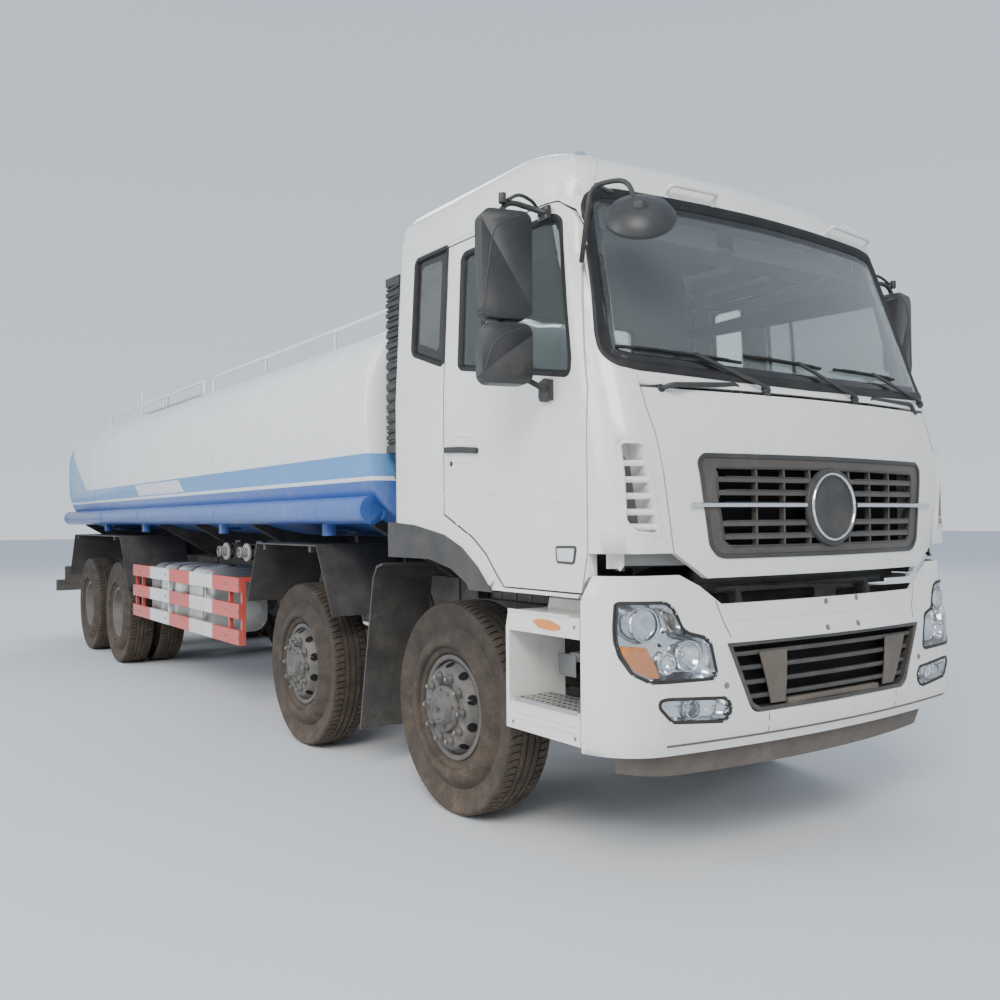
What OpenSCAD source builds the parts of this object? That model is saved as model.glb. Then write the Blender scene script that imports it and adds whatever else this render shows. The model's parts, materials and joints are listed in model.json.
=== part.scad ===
// Four-axle water tanker truck with a tilting cab-over-engine cab.
// X points forwards, Y to the vehicle's left, Z up.
// The origin lies on the ground, under the middle of the box.
// Inside the modules x is counted from the first axle; at_frame() moves that to the origin.

/* [Overall] */
// Bumper face to first axle
front_overhang = 1555; // [1450:5:1700]
// First to second axle
wheelbase_12 = 1950; // [1850:10:2300]
// Second to third axle
wheelbase_23 = 4900; // [4300:10:5900]
// Third to fourth axle
wheelbase_34 = 1400; // [1300:10:1600]
// Fourth axle to the rear beam
rear_overhang = 2050; // [1900:10:2400]

/* [Wheels] */
// Tyre outside diameter
tyre_d = 1110; // [1000:5:1130]
// Tyre section width
tyre_w = 300; // [250:5:315]
// Rim seat diameter
rim_d = 512; // [480:2:560]
// Steered track, tyre centre to tyre centre
track_front = 2030; // [1990:5:2040]
// Drive track, between the middles of the twin tyres
track_rear = 1850; // [1800:5:1860]
// Gap between the two tyres of a twin
twin_gap = 30; // [20:1:60]
// Distance between the kingpins of a steered axle
kingpin_span = 1720; // [1700:5:1740]
// Hub bore radius on the steered spindles
spindle_r = 45; // [35:1:55]
// Hub bore radius on the drive axle ends
axle_end_r = 60; // [50:1:70]
// Kingpin radius
kingpin_r = 24; // [18:1:28]

/* [Chassis] */
// Outside width over the two frame rails
frame_w = 860; // [820:5:900]
// Height of a frame rail
rail_h = 280; // [240:5:320]
// Height of the rail's underside above ground
rail_z = 760; // [740:5:800]
// Plate thickness of the rails
rail_t = 10; // [8:1:14]

/* [Tank] */
// Overall width of the tank
tank_w = 2450; // [2200:5:2480]
// Height of the tank section
tank_h = 1428; // [1200:4:1700]
// Height of the tank's underside above ground
tank_z = 1410; // [1380:5:1500]
// Distance from the first axle back to the tank's front end
tank_front = 745; // [740:5:1000]
// Depth of each dished tank end
dish = 70; // [40:5:120]
// Squareness of the tank section, 2 is an ellipse
tank_power = 3.2; // [2:0.1:5]
// Radius of the hose tubes along the tank
hose_tube_r = 86; // [60:1:110]
// Height of the hose tubes' centre
hose_tube_z = 1602; // [1560:2:1700]
// Manhole radius
manhole_r = 250; // [200:5:300]

/* [Cab] */
// Width over the cab's side panels
cab_w = 2410; // [2200:5:2420]
// Thickness of the cab's walls and doors
cab_t = 45; // [30:1:60]
// Height of the roof seam
seam_z = 2980; // [2900:5:3100]
// Height of the roof's top
roof_z = 3312; // [3200:2:3500]
// Gap round the doors and the front panel
shut_gap = 8; // [8:0.5:11]
// Bumper width over its ends
bumper_w = 2470; // [2450:5:2500]
// Thickness of the bumper's wall
bumper_t = 18; // [12:1:20]

/* [Hidden] */
$fn = 40;

axle_x = [0, -wheelbase_12, -wheelbase_12 - wheelbase_23, -wheelbase_12 - wheelbase_23 - wheelbase_34];
body_len = front_overhang - axle_x[3] + rear_overhang;
rear_x = axle_x[3] - rear_overhang;
tyre_r = tyre_d / 2;
rim_r = rim_d / 2;
kingpin_y = kingpin_span / 2;
wheel_y = track_front / 2;
twin_y = track_rear / 2;
twin_pitch = tyre_w + twin_gap;
running = 0.05; // radial clearance of a hub on its spindle and of a kingpin in its eye
rail_y = frame_w / 2;
rail_top = rail_z + rail_h;
subframe_h = 120;
tank_mid_z = tank_z + tank_h / 2;
tank_rear = axle_x[3] - 1255;
hose_tube_y = 1150;
bogie_x = (axle_x[2] + axle_x[3]) / 2;
white = "#e9e6df";
blue = "#1f4f96";
black = "#2b2d2f";
steel = "#6f7173";

// ---------- helpers ----------
module at_frame() translate([body_len / 2 - front_overhang, 0, 0]) children();
module both_sides() { children(); mirror([0, 1, 0]) children(); }
// A side view outline given as [x, z], from y0 to y1
module side_plate(points, y0, y1) translate([0, y1, 0]) rotate([90, 0, 0])
    linear_extrude(y1 - y0) polygon(points);
// A front view outline given as [y, z], from x0 to x1
module front_plate(points, x0, x1) translate([x0, 0, 0]) rotate([90, 0, 90])
    linear_extrude(x1 - x0) polygon(points);
module rod_x(r, y, z, x0, x1) translate([x0, y, z]) rotate([0, 90, 0]) cylinder(r = r, h = x1 - x0);
module rod_y(r, x, z, y0, y1) translate([x, y1, z]) rotate([90, 0, 0]) cylinder(r = r, h = y1 - y0);
module rod_z(r, x, y, z0, z1) translate([x, y, z0]) cylinder(r = r, h = z1 - z0);
module block(x0, x1, y0, y1, z0, z1) translate([x0, y0, z0]) cube([x1 - x0, y1 - y0, z1 - z0]);
// Curved shells keep their facets as one closed skin
module shell() resize([0, 0, 0]) children();
function unit(v) = v / norm(v);
function arc(cx, cy, r, a0, a1, n = 6) = [for (i = [0:n]) let (a = a0 + (a1 - a0) * i / n)
    [cx + r * cos(a), cy + r * sin(a)]];
function backwards(list) = [for (i = [len(list) - 1:-1:0]) list[i]];
// The same outline on the other side of the middle, in reverse order
function mirrored(list) = [for (p = backwards(list)) [-p[0], p[1]]];
// A round-cornered outline between two corners
function rounded(x0, y0, x1, y1, r, n = 5) = concat(
    arc(x1 - r, y1 - r, r, 0, 90, n), arc(x0 + r, y1 - r, r, 90, 180, n),
    arc(x0 + r, y0 + r, r, 180, 270, n), arc(x1 - r, y0 + r, r, 270, 360, n));
// Points of a bent pipe: each corner of the path is rounded by a bend
function bend(a, b, c, r, n = 4) = let (u = unit(a - b), w = unit(c - b))
    [for (i = [0:n]) let (t = i / n) b + u * r * (1 - t) * (1 - t) + w * r * t * t];
function pipe_points(p, r) = concat([p[0]],
    [for (i = [1:len(p) - 2]) each bend(p[i - 1], p[i], p[i + 1], r)], [p[len(p) - 1]]);
// A pipe swept along points; side is any direction that the path never runs along
module pipe(points, r, side = [0, 1, 0], n = 10) {
    last = len(points) - 1;
    rings = [for (i = [0:last]) let (
        t = unit(points[min(i + 1, last)] - points[max(i - 1, 0)]),
        u = unit(cross(t, side)), v = cross(t, u))
        for (k = [0:n - 1]) points[i] + r * (u * cos(360 * k / n) + v * sin(360 * k / n))];
    faces = [for (i = [0:last - 1], k = [0:n - 1]) let (a = i * n + k, b = i * n + (k + 1) % n)
        each [[a, a + n, b], [b, a + n, b + n]]];
    polyhedron(rings, concat([[for (k = [0:n - 1]) k]], faces, [[for (k = [n - 1:-1:0]) last * n + k]]));
}

// ---------- cab form ----------
corner_r = 200;
crown_r = 6000;
cab_low_z = 1200;
roof_power = 2.95;
roof_retreat = [1000, 380, 180]; // how far the crown lies in from the front, the sides and the back
cab_x0 = -500;
cab_half = cab_w / 2;
roof_levels = 8;
function roof_share(z) = max(0, (z - seam_z) / (roof_z - seam_z));
function roof_roll(z) = 1 - pow(max(0, 1 - pow(roof_share(z), roof_power)), 1 / roof_power);
// Middle of the cab's front at a height
nose_line = [[1200, 1500], [1300, 1520], [1720, 1520], [1880, 1505], [2090, 1440], [2210, 1400],
    [seam_z, 1135]];
function cab_nose(z) = lookup(z, nose_line)
    - roof_retreat[0] * roof_roll(z);
function cab_side(z) = lookup(z, [[2200, cab_half], [seam_z, cab_half - 40]])
    - roof_retreat[1] * roof_roll(z);
function cab_back(z) = cab_x0 + roof_retreat[2] * roof_roll(z);
// Half of a plan outline: a crowned front, a round corner, a straight side and a small rear corner
function half_plan(nose, side, back, r, rr, n = 7) = let (
        a0 = asin((side - r) / crown_r), yt = side - r + r * sin(a0),
        xt = nose - yt * yt / (2 * crown_r), xc = xt - r * cos(a0))
    concat([for (i = [0:n]) let (y = yt * i / (n + 1)) [nose - y * y / (2 * crown_r), y]],
        arc(xc, side - r, r, a0, 90, n),
        arc(back + rr, side - rr, rr, 90, 180, 3));
function whole_plan(h) = concat(h, [for (i = [len(h) - 1:-1:1]) [h[i][0], -h[i][1]]]);
// A closed solid through a stack of equal plan outlines
module loft(plans, heights) {
    n = len(plans[0]);
    top = len(plans) - 1;
    points = [for (i = [0:top], p = plans[i]) [p[0], p[1], heights[i]]];
    sides = [for (i = [0:top - 1], k = [0:n - 1]) let (a = i * n + k, b = i * n + (k + 1) % n)
        each [[a, a + n, b], [b, a + n, b + n]]];
    polyhedron(points, concat([[for (k = [0:n - 1]) k]], sides, [[for (k = [n - 1:-1:0]) top * n + k]]));
}
cab_heights = concat([cab_low_z, 1300, 1500, 1720, 1800, 1880, 1980, 2090, 2150, 2210, 2450, 2700],
    [for (i = [0:roof_levels]) seam_z + (roof_z - seam_z) * pow(sin(90 * i / roof_levels), 2 / roof_power)]);
function cab_plan(z) = whole_plan(half_plan(cab_nose(z), cab_side(z), cab_back(z), corner_r, 60));
module cab_solid() loft([for (z = cab_heights) cab_plan(z)], cab_heights);
cab_mid = [(cab_nose(1500) + cab_x0) / 2, 0, (cab_low_z + roof_z) / 2];
module inside_cab(t) translate(cab_mid)
    scale([1 - 2 * t / (cab_nose(1500) - cab_x0), 1 - 2 * t / cab_w, 1 - 2 * t / (roof_z - cab_low_z)])
    translate(-cab_mid) cab_solid();
module cab_skin(t = cab_t) difference() { cab_solid(); inside_cab(t); }

// Hinge lines of the cab, the doors and the front panel, about which the joints turn
pivot_x = 1380;
pivot_z = 1100;
door_hinge_x = 1195;
door_hinge_y = 1213;
panel_hinge_x = 1430;
panel_hinge_z = 2080;
// Door shut line, seen from the side
door_x0 = 65;
door_x1 = door_hinge_x + 13;
door_bottom = 1224;
door_top = 2955;
function door_outline(g = 0) = [
    [door_x0 - g, door_top + g], [955, door_top + g], [1020 + g, 2905 + g], [1065 + g, 2825],
    [door_x1 + g, 2080], [door_x1 + g, 1400], [door_x1 - 40 + g, door_bottom - g],
    [600 - g, door_bottom - g], [545 - g, 1275 - g], [450 - g, 1375 - g], [330 - g, 1455 - g],
    [190 - g, 1515 - g], [door_x0 - g, 1570 - g]];
door_window = [[205, 2320], [230, 2300], [1080, 2160], [1100, 2180], [1102, 2230], [978, 2866], [950, 2892],
    [225, 2888], [198, 2866]];
quarter_window = [[-285, 2470], [-262, 2442], [25, 2350], [48, 2365], [52, 2962], [-262, 2962], [-280, 2944]];
// Windscreen, seen from the front
screen_low = 2147;
screen_top = 3020;
screen_side = [[1100, 2192], [1130, 2222], [1138, 2260], [1136, 2320], [1112, 2509], [1082, 2785],
    [1066, 2930], [1040, 2980], [1000, 3003], [900, 3015]];
screen_flat = 1020; // half width of the windscreen's gently arched lower edge
screen_arch = 29;
screen_edge = [for (i = [-5:5]) [screen_flat * i / 5, screen_low + screen_arch * i * i / 25]];
screen = concat(screen_edge, screen_side, [[0, screen_top]], mirrored(screen_side));
rear_window = rounded(-620, 2350, 620, 2800, 60);
// Air vent in the corner beside the front panel, seen from the front
side_vent = [[1012, 1473], [1005, 1484], [1066, 1828], [1080, 1846], [1136, 1848], [1146, 1838], [1136, 1530],
    [1110, 1487]];
// Front panel shut line, seen from the front
panel_top = panel_hinge_z + 8;
panel_side = [[762, 1282], [932, 1392], [1018, 2000], [1022, panel_top]];
// g widens the outline by the shut gap, and by twice that at the hinge
function panel_gap(z) = [z > 1300 ? 1 : 0, z == panel_top ? 2 : z < 1300 ? -1 : 0];
function panel_outline(g = 0) = let (half = [for (p = panel_side) p + g * panel_gap(p[1])])
    concat(half, mirrored(half));
grille_half = [[672, 1378], [708, 1388], [740, 1425], [794, 1773], [772, 1797]];
grille_outline = concat(grille_half, mirrored(grille_half));
grille_inner = [[644, 1415], [671, 1438], [702, 1608], [711, 1750]];
// Wheel arch curves in the cab's side: upper edge of the black trim and the opening itself
arch_top = [[-560, 1530], [-250, 1512], [60, 1462], [230, 1400], [370, 1310], [470, 1220],
    [505, cab_low_z - 10]];
arch_low = [[-560, 1332], [-90, 1332], [130, 1290], [280, 1222], [300, cab_low_z - 10]];
module below(curve, y0, y1) {
    behind = curve[0][0] - 200;
    front = curve[len(curve) - 1][0];
    side_plate(concat(curve, [[front, 900], [behind, 900], [behind, curve[0][1]]]), y0, y1);
}
tunnel_y = 430;
tunnel_x = 640;
tunnel_z = 1510;

bulkhead_top = 2140;
bumper_sweep = 255; // radius about the cab's pivot that passes over the bumper's upper rear corner
module cab_shell() color(white) shell() {
    difference() {
        cab_skin();
        block(-2000, 3000, -2000, 2000, seam_z, 4000);
        both_sides() {
            side_plate(door_outline(shut_gap), 1000, 1400);
            side_plate(quarter_window, 1000, 1400);
        }
        front_plate(screen, 700, 2000);
        both_sides() front_plate(side_vent, 1200, 2000);
        front_plate(rear_window, -700, 0);
        front_plate(panel_outline(shut_gap), 1100, 2000);
        // the skin and floor end behind the bumper, so that the cab can tip over it
        front_plate([[-1400, 1392], [1400, 1392], [1400, 1000], [-1400, 1000]], 1330, 2000);
        both_sides() block(1170, 2000, 690, 1140, 1000, 1320);
        both_sides() {
            block(1216, 2000, 1130, 1400, 1000, 1392);
            rod_y(bumper_sweep, pivot_x, pivot_z, 1130, 1400);
        }
        below(arch_top, 1150, 1400);
        below(arch_top, -1400, -1150);
        below(arch_low, -1400, 1400);
        block(-700, tunnel_x, -tunnel_y, tunnel_y, 1000, tunnel_z);
    }
    // raised floor over the front wheels
    difference() {
        side_plate(concat(arch_low, [[300, 1245], [290, 1262], [140, 1330], [-85, 1376], [-500, 1376]]),
            -1150, 1150);
        block(-700, tunnel_x, -tunnel_y, tunnel_y, 1000, tunnel_z);
        block(-800, cab_x0 + 1, -1400, 1400, 1000, 2000);
    }
    // engine tunnel
    difference() {
        block(cab_x0 + 5, tunnel_x + 30, -tunnel_y - 30, tunnel_y + 30, 1205, tunnel_z + 30);
        block(-700, tunnel_x, -tunnel_y, tunnel_y, 1000, tunnel_z);
        below(arch_low, -1400, 1400);
    }
    // front bulkhead behind the panel
    intersection() {
        difference() {
            front_plate([[-1200, 1330], [-690, 1330], [-690, 1205], [690, 1205], [690, 1330], [1200, 1330],
                [1200, bulkhead_top], [-1200, bulkhead_top]], 1290, 1315);
            front_plate([[-560, 1420], [560, 1420], [560, 1740], [-560, 1740]], 1200, 1400);
        }
        inside_cab(20);
    }
    // cab hinge eyes
    difference() {
        both_sides() side_plate([[1290, 1230], [1368, 1230], [1408, 1100], [1380, 1072], [1352, 1100]],
            rail_y + 26, rail_y + 56);
        rod_y(cab_pin_r + 4, pivot_x, pivot_z, -600, 600);
    }
    block(1290, 1368, -600, 600, 1205, 1235);
}
module cab_roof() color(white) shell() difference() {
    cab_skin();
    block(-2000, 3000, -2000, 2000, 0, seam_z);
    front_plate(screen, 700, 2000);
}
glass_t = 6;
glass_in = 14;
module glass_skin() difference() { inside_cab(glass_in); inside_cab(glass_in + glass_t); }
module cab_glass() color("#5c6a70", 0.5) shell() {
    difference() {
        intersection() { glass_skin(); front_plate(screen, 700, 2000); }
        both_sides() side_plate(door_outline(shut_gap), 900, 1400);
    }
    both_sides() intersection() { glass_skin(); side_plate(quarter_window, 1000, 1400); }
    intersection() { glass_skin(); front_plate(rear_window, -700, 0); }
}
module door_panel() color(white) shell() difference() {
    intersection() { cab_skin(); side_plate(door_outline(), 1006, 1400); }
    side_plate(door_window, 1000, 1400);
    block(-600, 1400, 1000, cab_half - cab_t, cab_low_z, 1300); // the floor stays with the shell
}
module door_glass() color("#4b575d", 0.5) shell() intersection() {
    glass_skin();
    side_plate(door_window, 1000, 1400);
}
module front_panel() color(white) shell() {
    difference() {
        intersection() { cab_skin(28); front_plate(panel_outline(), 1200, 2000); }
        front_plate(grille_outline, 1200, 2000);
    }
}
grille_slats = [1444, 1501, 1580, 1634, 1691];
slat_h = 22;
module grille() color(black) shell() intersection() {
    union() {
        for (z = grille_slats) block(1200, 2000, -900, 900, z, z + slat_h);
        for (y = [-484, -314, -144, 144, 314, 484]) block(1200, 2000, y - 5, y + 5, 1384, 1792);
        difference() {
            front_plate(grille_outline, 1200, 2000);
            front_plate(concat(grille_inner, mirrored(grille_inner)), 1100, 2100);
        }
    }
    cab_skin(26);
    front_plate(grille_outline, 1200, 2000);
}
module wheel_arch_trims() color(black) shell() both_sides() difference() {
    side_plate(concat(arch_top, backwards(arch_low)), 1152, cab_half + 8);
    block(-800, cab_x0 - 40, 1000, 1400, 1000, 2000);
}

module seat() {
    block(30, 560, -235, 235, 1680, 1800);
    side_plate([[30, 1760], [150, 1760], [40, 2420], [-60, 2420]], -225, 225);
    side_plate([[30, 2430], [-40, 2430], [-60, 2620], [10, 2620]], -130, 130);
    block(130, 460, -150, 150, 1500, 1680);
}
module seats() color("#54575a") {
    translate([0, 720, 0]) seat();
    translate([0, -720, 0]) seat();
    block(-440, -90, -1080, 1080, 1600, 1700);
}
module dashboard() color("#3a3c3e") {
    section = [[960, 1840], [900, 2060], [960, 2110], [1240, 2120], [1270, 2090], [1270, 1700], [1100, 1700]];
    side_plate(section, -1080, 1080);
}
steering_hub = [790, 650, 2110];
steering_rake = 38;
module steering_wheel() color(black) translate(steering_hub) rotate([0, -steering_rake, 0]) {
    rotate_extrude() translate([225, 0]) circle(r = 16, $fn = 24);
    translate([0, 0, -25]) cylinder(r = 70, h = 40);
    for (a = [90, 210, 330]) rotate([0, 0, a]) translate([60, -18, -8]) cube([155, 36, 14]);
    translate([0, 0, -145]) cylinder(r = 34, h = 140);
}

// Round close-view mirror, held by an arm along the right windscreen pillar and another from the roof
front_mirror_at = [1385, -1050, 2780];
module front_mirror() color(black) shell() {
    lower_arm = [[1135, -1160, 2640], [1190, -1150, 2960], [1330, -1070, 2965], [1400, -1075, 2825]];
    pipe(pipe_points(lower_arm, 60), 11, [0.3, 1, 0]);
    pipe([[1105, -960, 2990], [1200, -1130, 2962]], 11, [0, 0, 1]);
    translate(front_mirror_at) rotate([29, 41, 0]) hull() {
        cylinder(r = 150, h = 12, $fn = 32);
        translate([0, 0, 32]) cylinder(r = 128, h = 12, $fn = 32);
        translate([0, 0, 58]) cylinder(r = 55, h = 14, $fn = 32);
    }
}
// Main and wide-angle mirror heads on one bent arm, left side
mirror_x = 960;
mirror_y = 1440;
mirror_turn = -76;
module mirror_head(x0, x1, z0, z1, y0, y1) hull() for (x = [x0 + 45, x1 - 45], z = [z0 + 45, z1 - 45])
    translate([x, y1, z]) rotate([90, 0, 0]) cylinder(r = 45, h = y1 - y0, $fn = 20);
module mirrors() color(black) {
    shell() translate([mirror_x, mirror_y, 0]) rotate([0, 0, mirror_turn]) {
        mirror_head(-115, 115, 2395, 2860, -60, 30);
        mirror_head(-115, 115, 2115, 2375, -60, 30);
    }
    shell() {
        arm = [[900, 1180, 2915], [915, 1425, 2930], [925, 1450, 2700], [930, 1440, 2200], [950, 1213, 2105]];
        pipe(pipe_points(arm, 90), 13, [1, 0, 0]);
        block(860, 940, 1171, 1188, 2880, 2940);
        block(910, 990, cab_half + 1, cab_half + 20, 2060, 2150);
    }
}

// Tall air intake behind the cab with louvres, bellows below
module air_intake() color(black) {
    difference() {
        block(-728, -560, -1120, -930, 1930, 2960);
        for (i = [0:15]) translate([0, 0, 60 * i]) block(-740, -550, -1130, -1105, 1975, 2010);
    }
    block(-560, -502, -1060, -990, 2700, 2760);
    block(-560, -502, -1060, -990, 2100, 2160);
    for (i = [0:4]) rod_z(i % 2 == 0 ? 80 : 68, -640, -1025, 1780 + 30 * i, 1810 + 30 * i);
}

// ---------- bumper, lamps and steps ----------
bumper_low = 560;
bumper_half = bumper_w / 2;
bumper_retreat = [[bumper_low, 30], [640, 0], [1010, 8], [1090, 30], [1310, 50]];
function bumper_nose(z) = front_overhang - lookup(z, bumper_retreat);
bumper_high = 1310;
bumper_corner = 290;
bumper_heights = [bumper_low, 600, 640, 1010, 1050, 1090, 1200, bumper_high];
// The bumper's outer form, or its inner one when t is its wall; reach lengthens it at both ends
module bumper_solid(t = 0, reach = 0) {
    last = len(bumper_heights) - 1;
    plans = [for (z = bumper_heights)
        whole_plan(half_plan(bumper_nose(z) - t, bumper_half - t, 700, bumper_corner - t, 5))];
    loft(plans, [for (i = [0:last]) bumper_heights[i] + (i == 0 ? -reach : i == last ? reach : 0)]);
}
module bumper_skin(t = bumper_t) difference() {
    bumper_solid();
    bumper_solid(t, 10);
    block(0, 1192, -2000, 2000, 0, 2000);
}
// Upper edge of the bumper, seen from the front
bumper_top = [[690, 1170], [800, 1250], [900, 1300], [1300, 1300], [1300, 2000]];
intake_half = concat([[690, 1006]], arc(522, 760, 60, -25, -90, 3));
intake_outline = concat(intake_half, mirrored(intake_half));
headlamp = [[1163, 1192], [985, 1190], [952, 1174], [930, 1142], [904, 1080], [880, 1060], [797, 1038],
    [778, 1015], [750, 885], [764, 864], [1075, 868], [1136, 904], [1168, 975], [1177, 1030]];
foglamp = [[686, 704], [677, 742], [700, 780], [1000, 799], [1036, 794], [1040, 768], [984, 702], [720, 682]];
module bumper_cut() {
    front_plate(concat(bumper_top, mirrored(bumper_top)), 900, 2000);
    side_plate([[1100, 1195], [1192, 1195], [1250, 1302], [1250, 1500], [1100, 1500]], -1400, 1400);
}
module front_bumper() color(white) shell() {
    difference() {
        bumper_skin();
        bumper_cut();
        front_plate(intake_outline, 900, 2000);
        both_sides() {
            front_plate(headlamp, 900, 2000);
            front_plate(foglamp, 900, 2000);
        }
    }
    // bolted carrier behind the skin
    block(1380, 1440, -400, 400, 1010, 1100);
    block(1430, front_overhang - 40, -330, 330, 1020, 1080);
    // rubber skirt under the bumper
    difference() {
        translate([-75, 0, -112]) scale([1, 0.86, 1]) intersection() {
            bumper_skin();
            block(1150, 2000, -2000, 2000, bumper_low, bumper_low + 125);
        }
        block(0, 1190, -2000, 2000, 0, 2000);
    }
}
// An outline drawn in by 2 mm towards a middle point
function shrunk(outline, mid) = [for (p = outline) p - 2 * [sign(p[0] - mid[0]), sign(p[1] - mid[1])]];
module lamps() {
    color("#cfd3d6") shell() {
        intersection() {
            bumper_skin(34);
            union() both_sides() {
                front_plate(shrunk(headlamp, [960, 1020]), 900, 2000);
                front_plate(shrunk(foglamp, [850, 745]), 900, 2000);
            }
        }
    }
    color("#b03026") both_sides() block(rear_x, rear_x + 48, 700, 1120, 830, 930);
}
step_x0 = 648;
step_x1 = 1184;
module cab_steps() color(white) both_sides() {
    // entry box between wheel arch and bumper, with two treads
    difference() {
        block(step_x0, step_x1, 900, bumper_half - 3, 582, 1165);
        block(step_x0 + 25, step_x1 + 10, 960, 1400, 700, 1030);
        block(step_x0 - 10, step_x1 + 10, 1000, 1400, 1120, 1400);
        side_plate([[step_x0 - 5, 1025], [step_x0 + 40, 1200], [step_x0 - 40, 1200]], 800, 1400);
        block(step_x0 + 20, step_x1 - 20, 880, 960, 560, 1140);
    }
    block(step_x0 + 30, step_x1 - 20, 985, bumper_half - 17, 700, 716);
    block(step_x0 + 60, step_x1 - 60, 430, 900, 860, 900);
}

// ---------- chassis ----------
rail_x1 = 1300;
rail_x0 = rear_x + 160;
cross_x = [1180, 650, -2000, -3000, -5900, bogie_x, rear_x + 400];
tow_r = 20;
tow_x = rail_x0 - 45;
cab_pin_r = 18;
module rail() difference() {
    block(rail_x0, rail_x1, rail_y - 85, rail_y, rail_z, rail_top);
    block(rail_x0 - 1, rail_x1 + 1, rail_y - 86, rail_y - rail_t, rail_z + rail_t, rail_top - rail_t);
}
module chassis_frame() color(black) {
    both_sides() rail();
    for (x = cross_x) block(x - 40, x + 40, -rail_y + rail_t, rail_y - rail_t, rail_z + 110, rail_top - 30);
    // rear towing plate with a vertical pin hole
    difference() {
        union() {
            block(rail_x0, rail_x0 + 20, -rail_y + rail_t, rail_y - rail_t, rail_z + 10, rail_top - 10);
            for (z = [rail_z + 60, rail_z + 160]) block(tow_x - 45, rail_x0 + 1, -60, 60, z, z + 30);
        }
        rod_z(tow_r, tow_x, 0, rail_z, rail_z + 250);
    }
    // cab hinge brackets
    both_sides() difference() {
        side_plate([[1180, rail_top], [1330, 1135], [1420, 1135], [1425, 1070], [1300, 900], [1180, 900]],
            rail_y, rail_y + 20);
        rod_y(cab_pin_r + 4, pivot_x, pivot_z, rail_y - 5, rail_y + 25);
    }
    both_sides() block(1180, 1290, rail_y, rail_y + 19, 790, 905);
}
// An arched leaf pack with stepped ends, centred on x = 0; dir is 1 where its ends turn up
leaf_n = 6;
leaf_t = 14;
function leaf_steps(half, sag, dir, side) = [for (i = [0:leaf_n - 1])
    let (x = half * (1 - 0.13 * i), z = dir * sag * x * x / (half * half))
    each [[side * x, z - dir * i * leaf_t], [side * x, z - dir * (i + 1) * leaf_t]]];
module leaf_pack(half, sag, dir) {
    right_end = leaf_steps(half, sag, dir, 1);
    left_end = leaf_steps(half, sag, dir, -1);
    face = [for (k = [-4:4]) [half * k / 4, dir * sag * k * k / 16]];
    side_plate(concat([for (k = [1:7]) face[k]], right_end, backwards(left_end)), -45, 45);
}
spring_y = 400;
spring_seat = 608; // underside of the steered axles' leaf packs
spring_sag = rail_z - 16 - spring_seat - leaf_n * leaf_t;
module leaf_springs() color("#3b3d3f") {
    both_sides() for (x = [axle_x[0], axle_x[1]]) {
        translate([x, spring_y, spring_seat + leaf_n * leaf_t]) leaf_pack(800, spring_sag, 1);
        for (end = [x - 780, x + 780]) block(end - 35, end + 35, spring_y - 46, rail_y, rail_z - 26, rail_z);
    }
    both_sides() {
        translate([bogie_x, spring_y + 120, 668]) leaf_pack(650, 45, -1);
        block(bogie_x - 120, bogie_x + 120, spring_y - 60, spring_y + 74, 560, 668);
        block(bogie_x - 90, bogie_x + 90, rail_y, rail_y + 29, 650, 960);
    }
}
hub_z = tyre_r;
beam_eye_h = 110;
// Right half of the dropped axle beam, seen from the front
beam_half = [[kingpin_y - 330, 460], [kingpin_y - 180, hub_z - 45], [kingpin_y - 60, hub_z - 45],
    [kingpin_y - 60, hub_z + 45], [kingpin_y - 160, hub_z + 45], [kingpin_y - 330, 580],
    [510, spring_seat], [330, spring_seat], [270, 560]];
module steer_axles() color(black) for (x = [axle_x[0], axle_x[1]]) translate([x, 0, 0]) difference() {
    union() {
        front_plate(concat(beam_half, mirrored(beam_half)), -50, 50);
        both_sides() {
            rod_z(48, 0, kingpin_y, hub_z - beam_eye_h / 2, hub_z + beam_eye_h / 2);
            block(-45, 45, kingpin_y - 70, kingpin_y - 30, hub_z - 45, hub_z + 45);
        }
    }
    both_sides() rod_z(kingpin_r + running, 0, kingpin_y, hub_z - 100, hub_z + 100);
}
// Knuckle with its kingpin, ears, brake carrier, spindle and steering arm; left side
module knuckle() color(steel) {
    ear = beam_eye_h / 2 + 2;
    rod_z(kingpin_r, 0, kingpin_y, hub_z - 105, hub_z + 105);
    for (s = [0, 1]) translate([0, 0, s * (2 * ear + 45)]) {
        rod_z(46, 0, kingpin_y, hub_z - ear - 45, hub_z - ear);
        block(-40, 40, kingpin_y, kingpin_y + 85, hub_z - ear - 45, hub_z - ear);
    }
    block(-60, 60, kingpin_y + 58, kingpin_y + 90, hub_z - ear - 45, hub_z + ear + 45);
    rod_y(150, 0, hub_z, kingpin_y + 90, kingpin_y + 102);
    rod_y(spindle_r, 0, hub_z, kingpin_y + 90, wheel_y + hub_flange - 45);
    side_plate([[-200, hub_z - 100], [-200, hub_z - 70], [-55, hub_z - 60], [-55, hub_z - 100]],
        kingpin_y + 58, kingpin_y + 88);
}
// One tyre about the y axis, centred on y = 0
// Half of the tyre's section, from the bead over the wall to the tread, as [radius, distance from the middle]
function tyre_wall(i) = let (a = -90 + 110 * (i / 6 - 0.42))
    [tyre_r - 150 + 95 * sin(a * 0.8 + 30), tyre_w / 2 * cos((i - 2.4) * 14)];
rim_w = tyre_w * 0.72;
tyre_half = concat(
    [[rim_r + 1, rim_w / 2 - 10.5], [rim_r + 20, rim_w / 2 - 6], [rim_r + 32, tyre_w * 0.39]],
    [for (i = [0:6]) tyre_wall(i)],
    [[tyre_r - 22, tyre_w * 0.425], [tyre_r - 6, tyre_w * 0.375], [tyre_r, tyre_w * 0.2]]);
module tyre_ring() rotate([90, 0, 0]) rotate_extrude($fn = 96)
    polygon(concat([for (p = tyre_half) [p[0], -p[1]]], backwards(tyre_half)));
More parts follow.
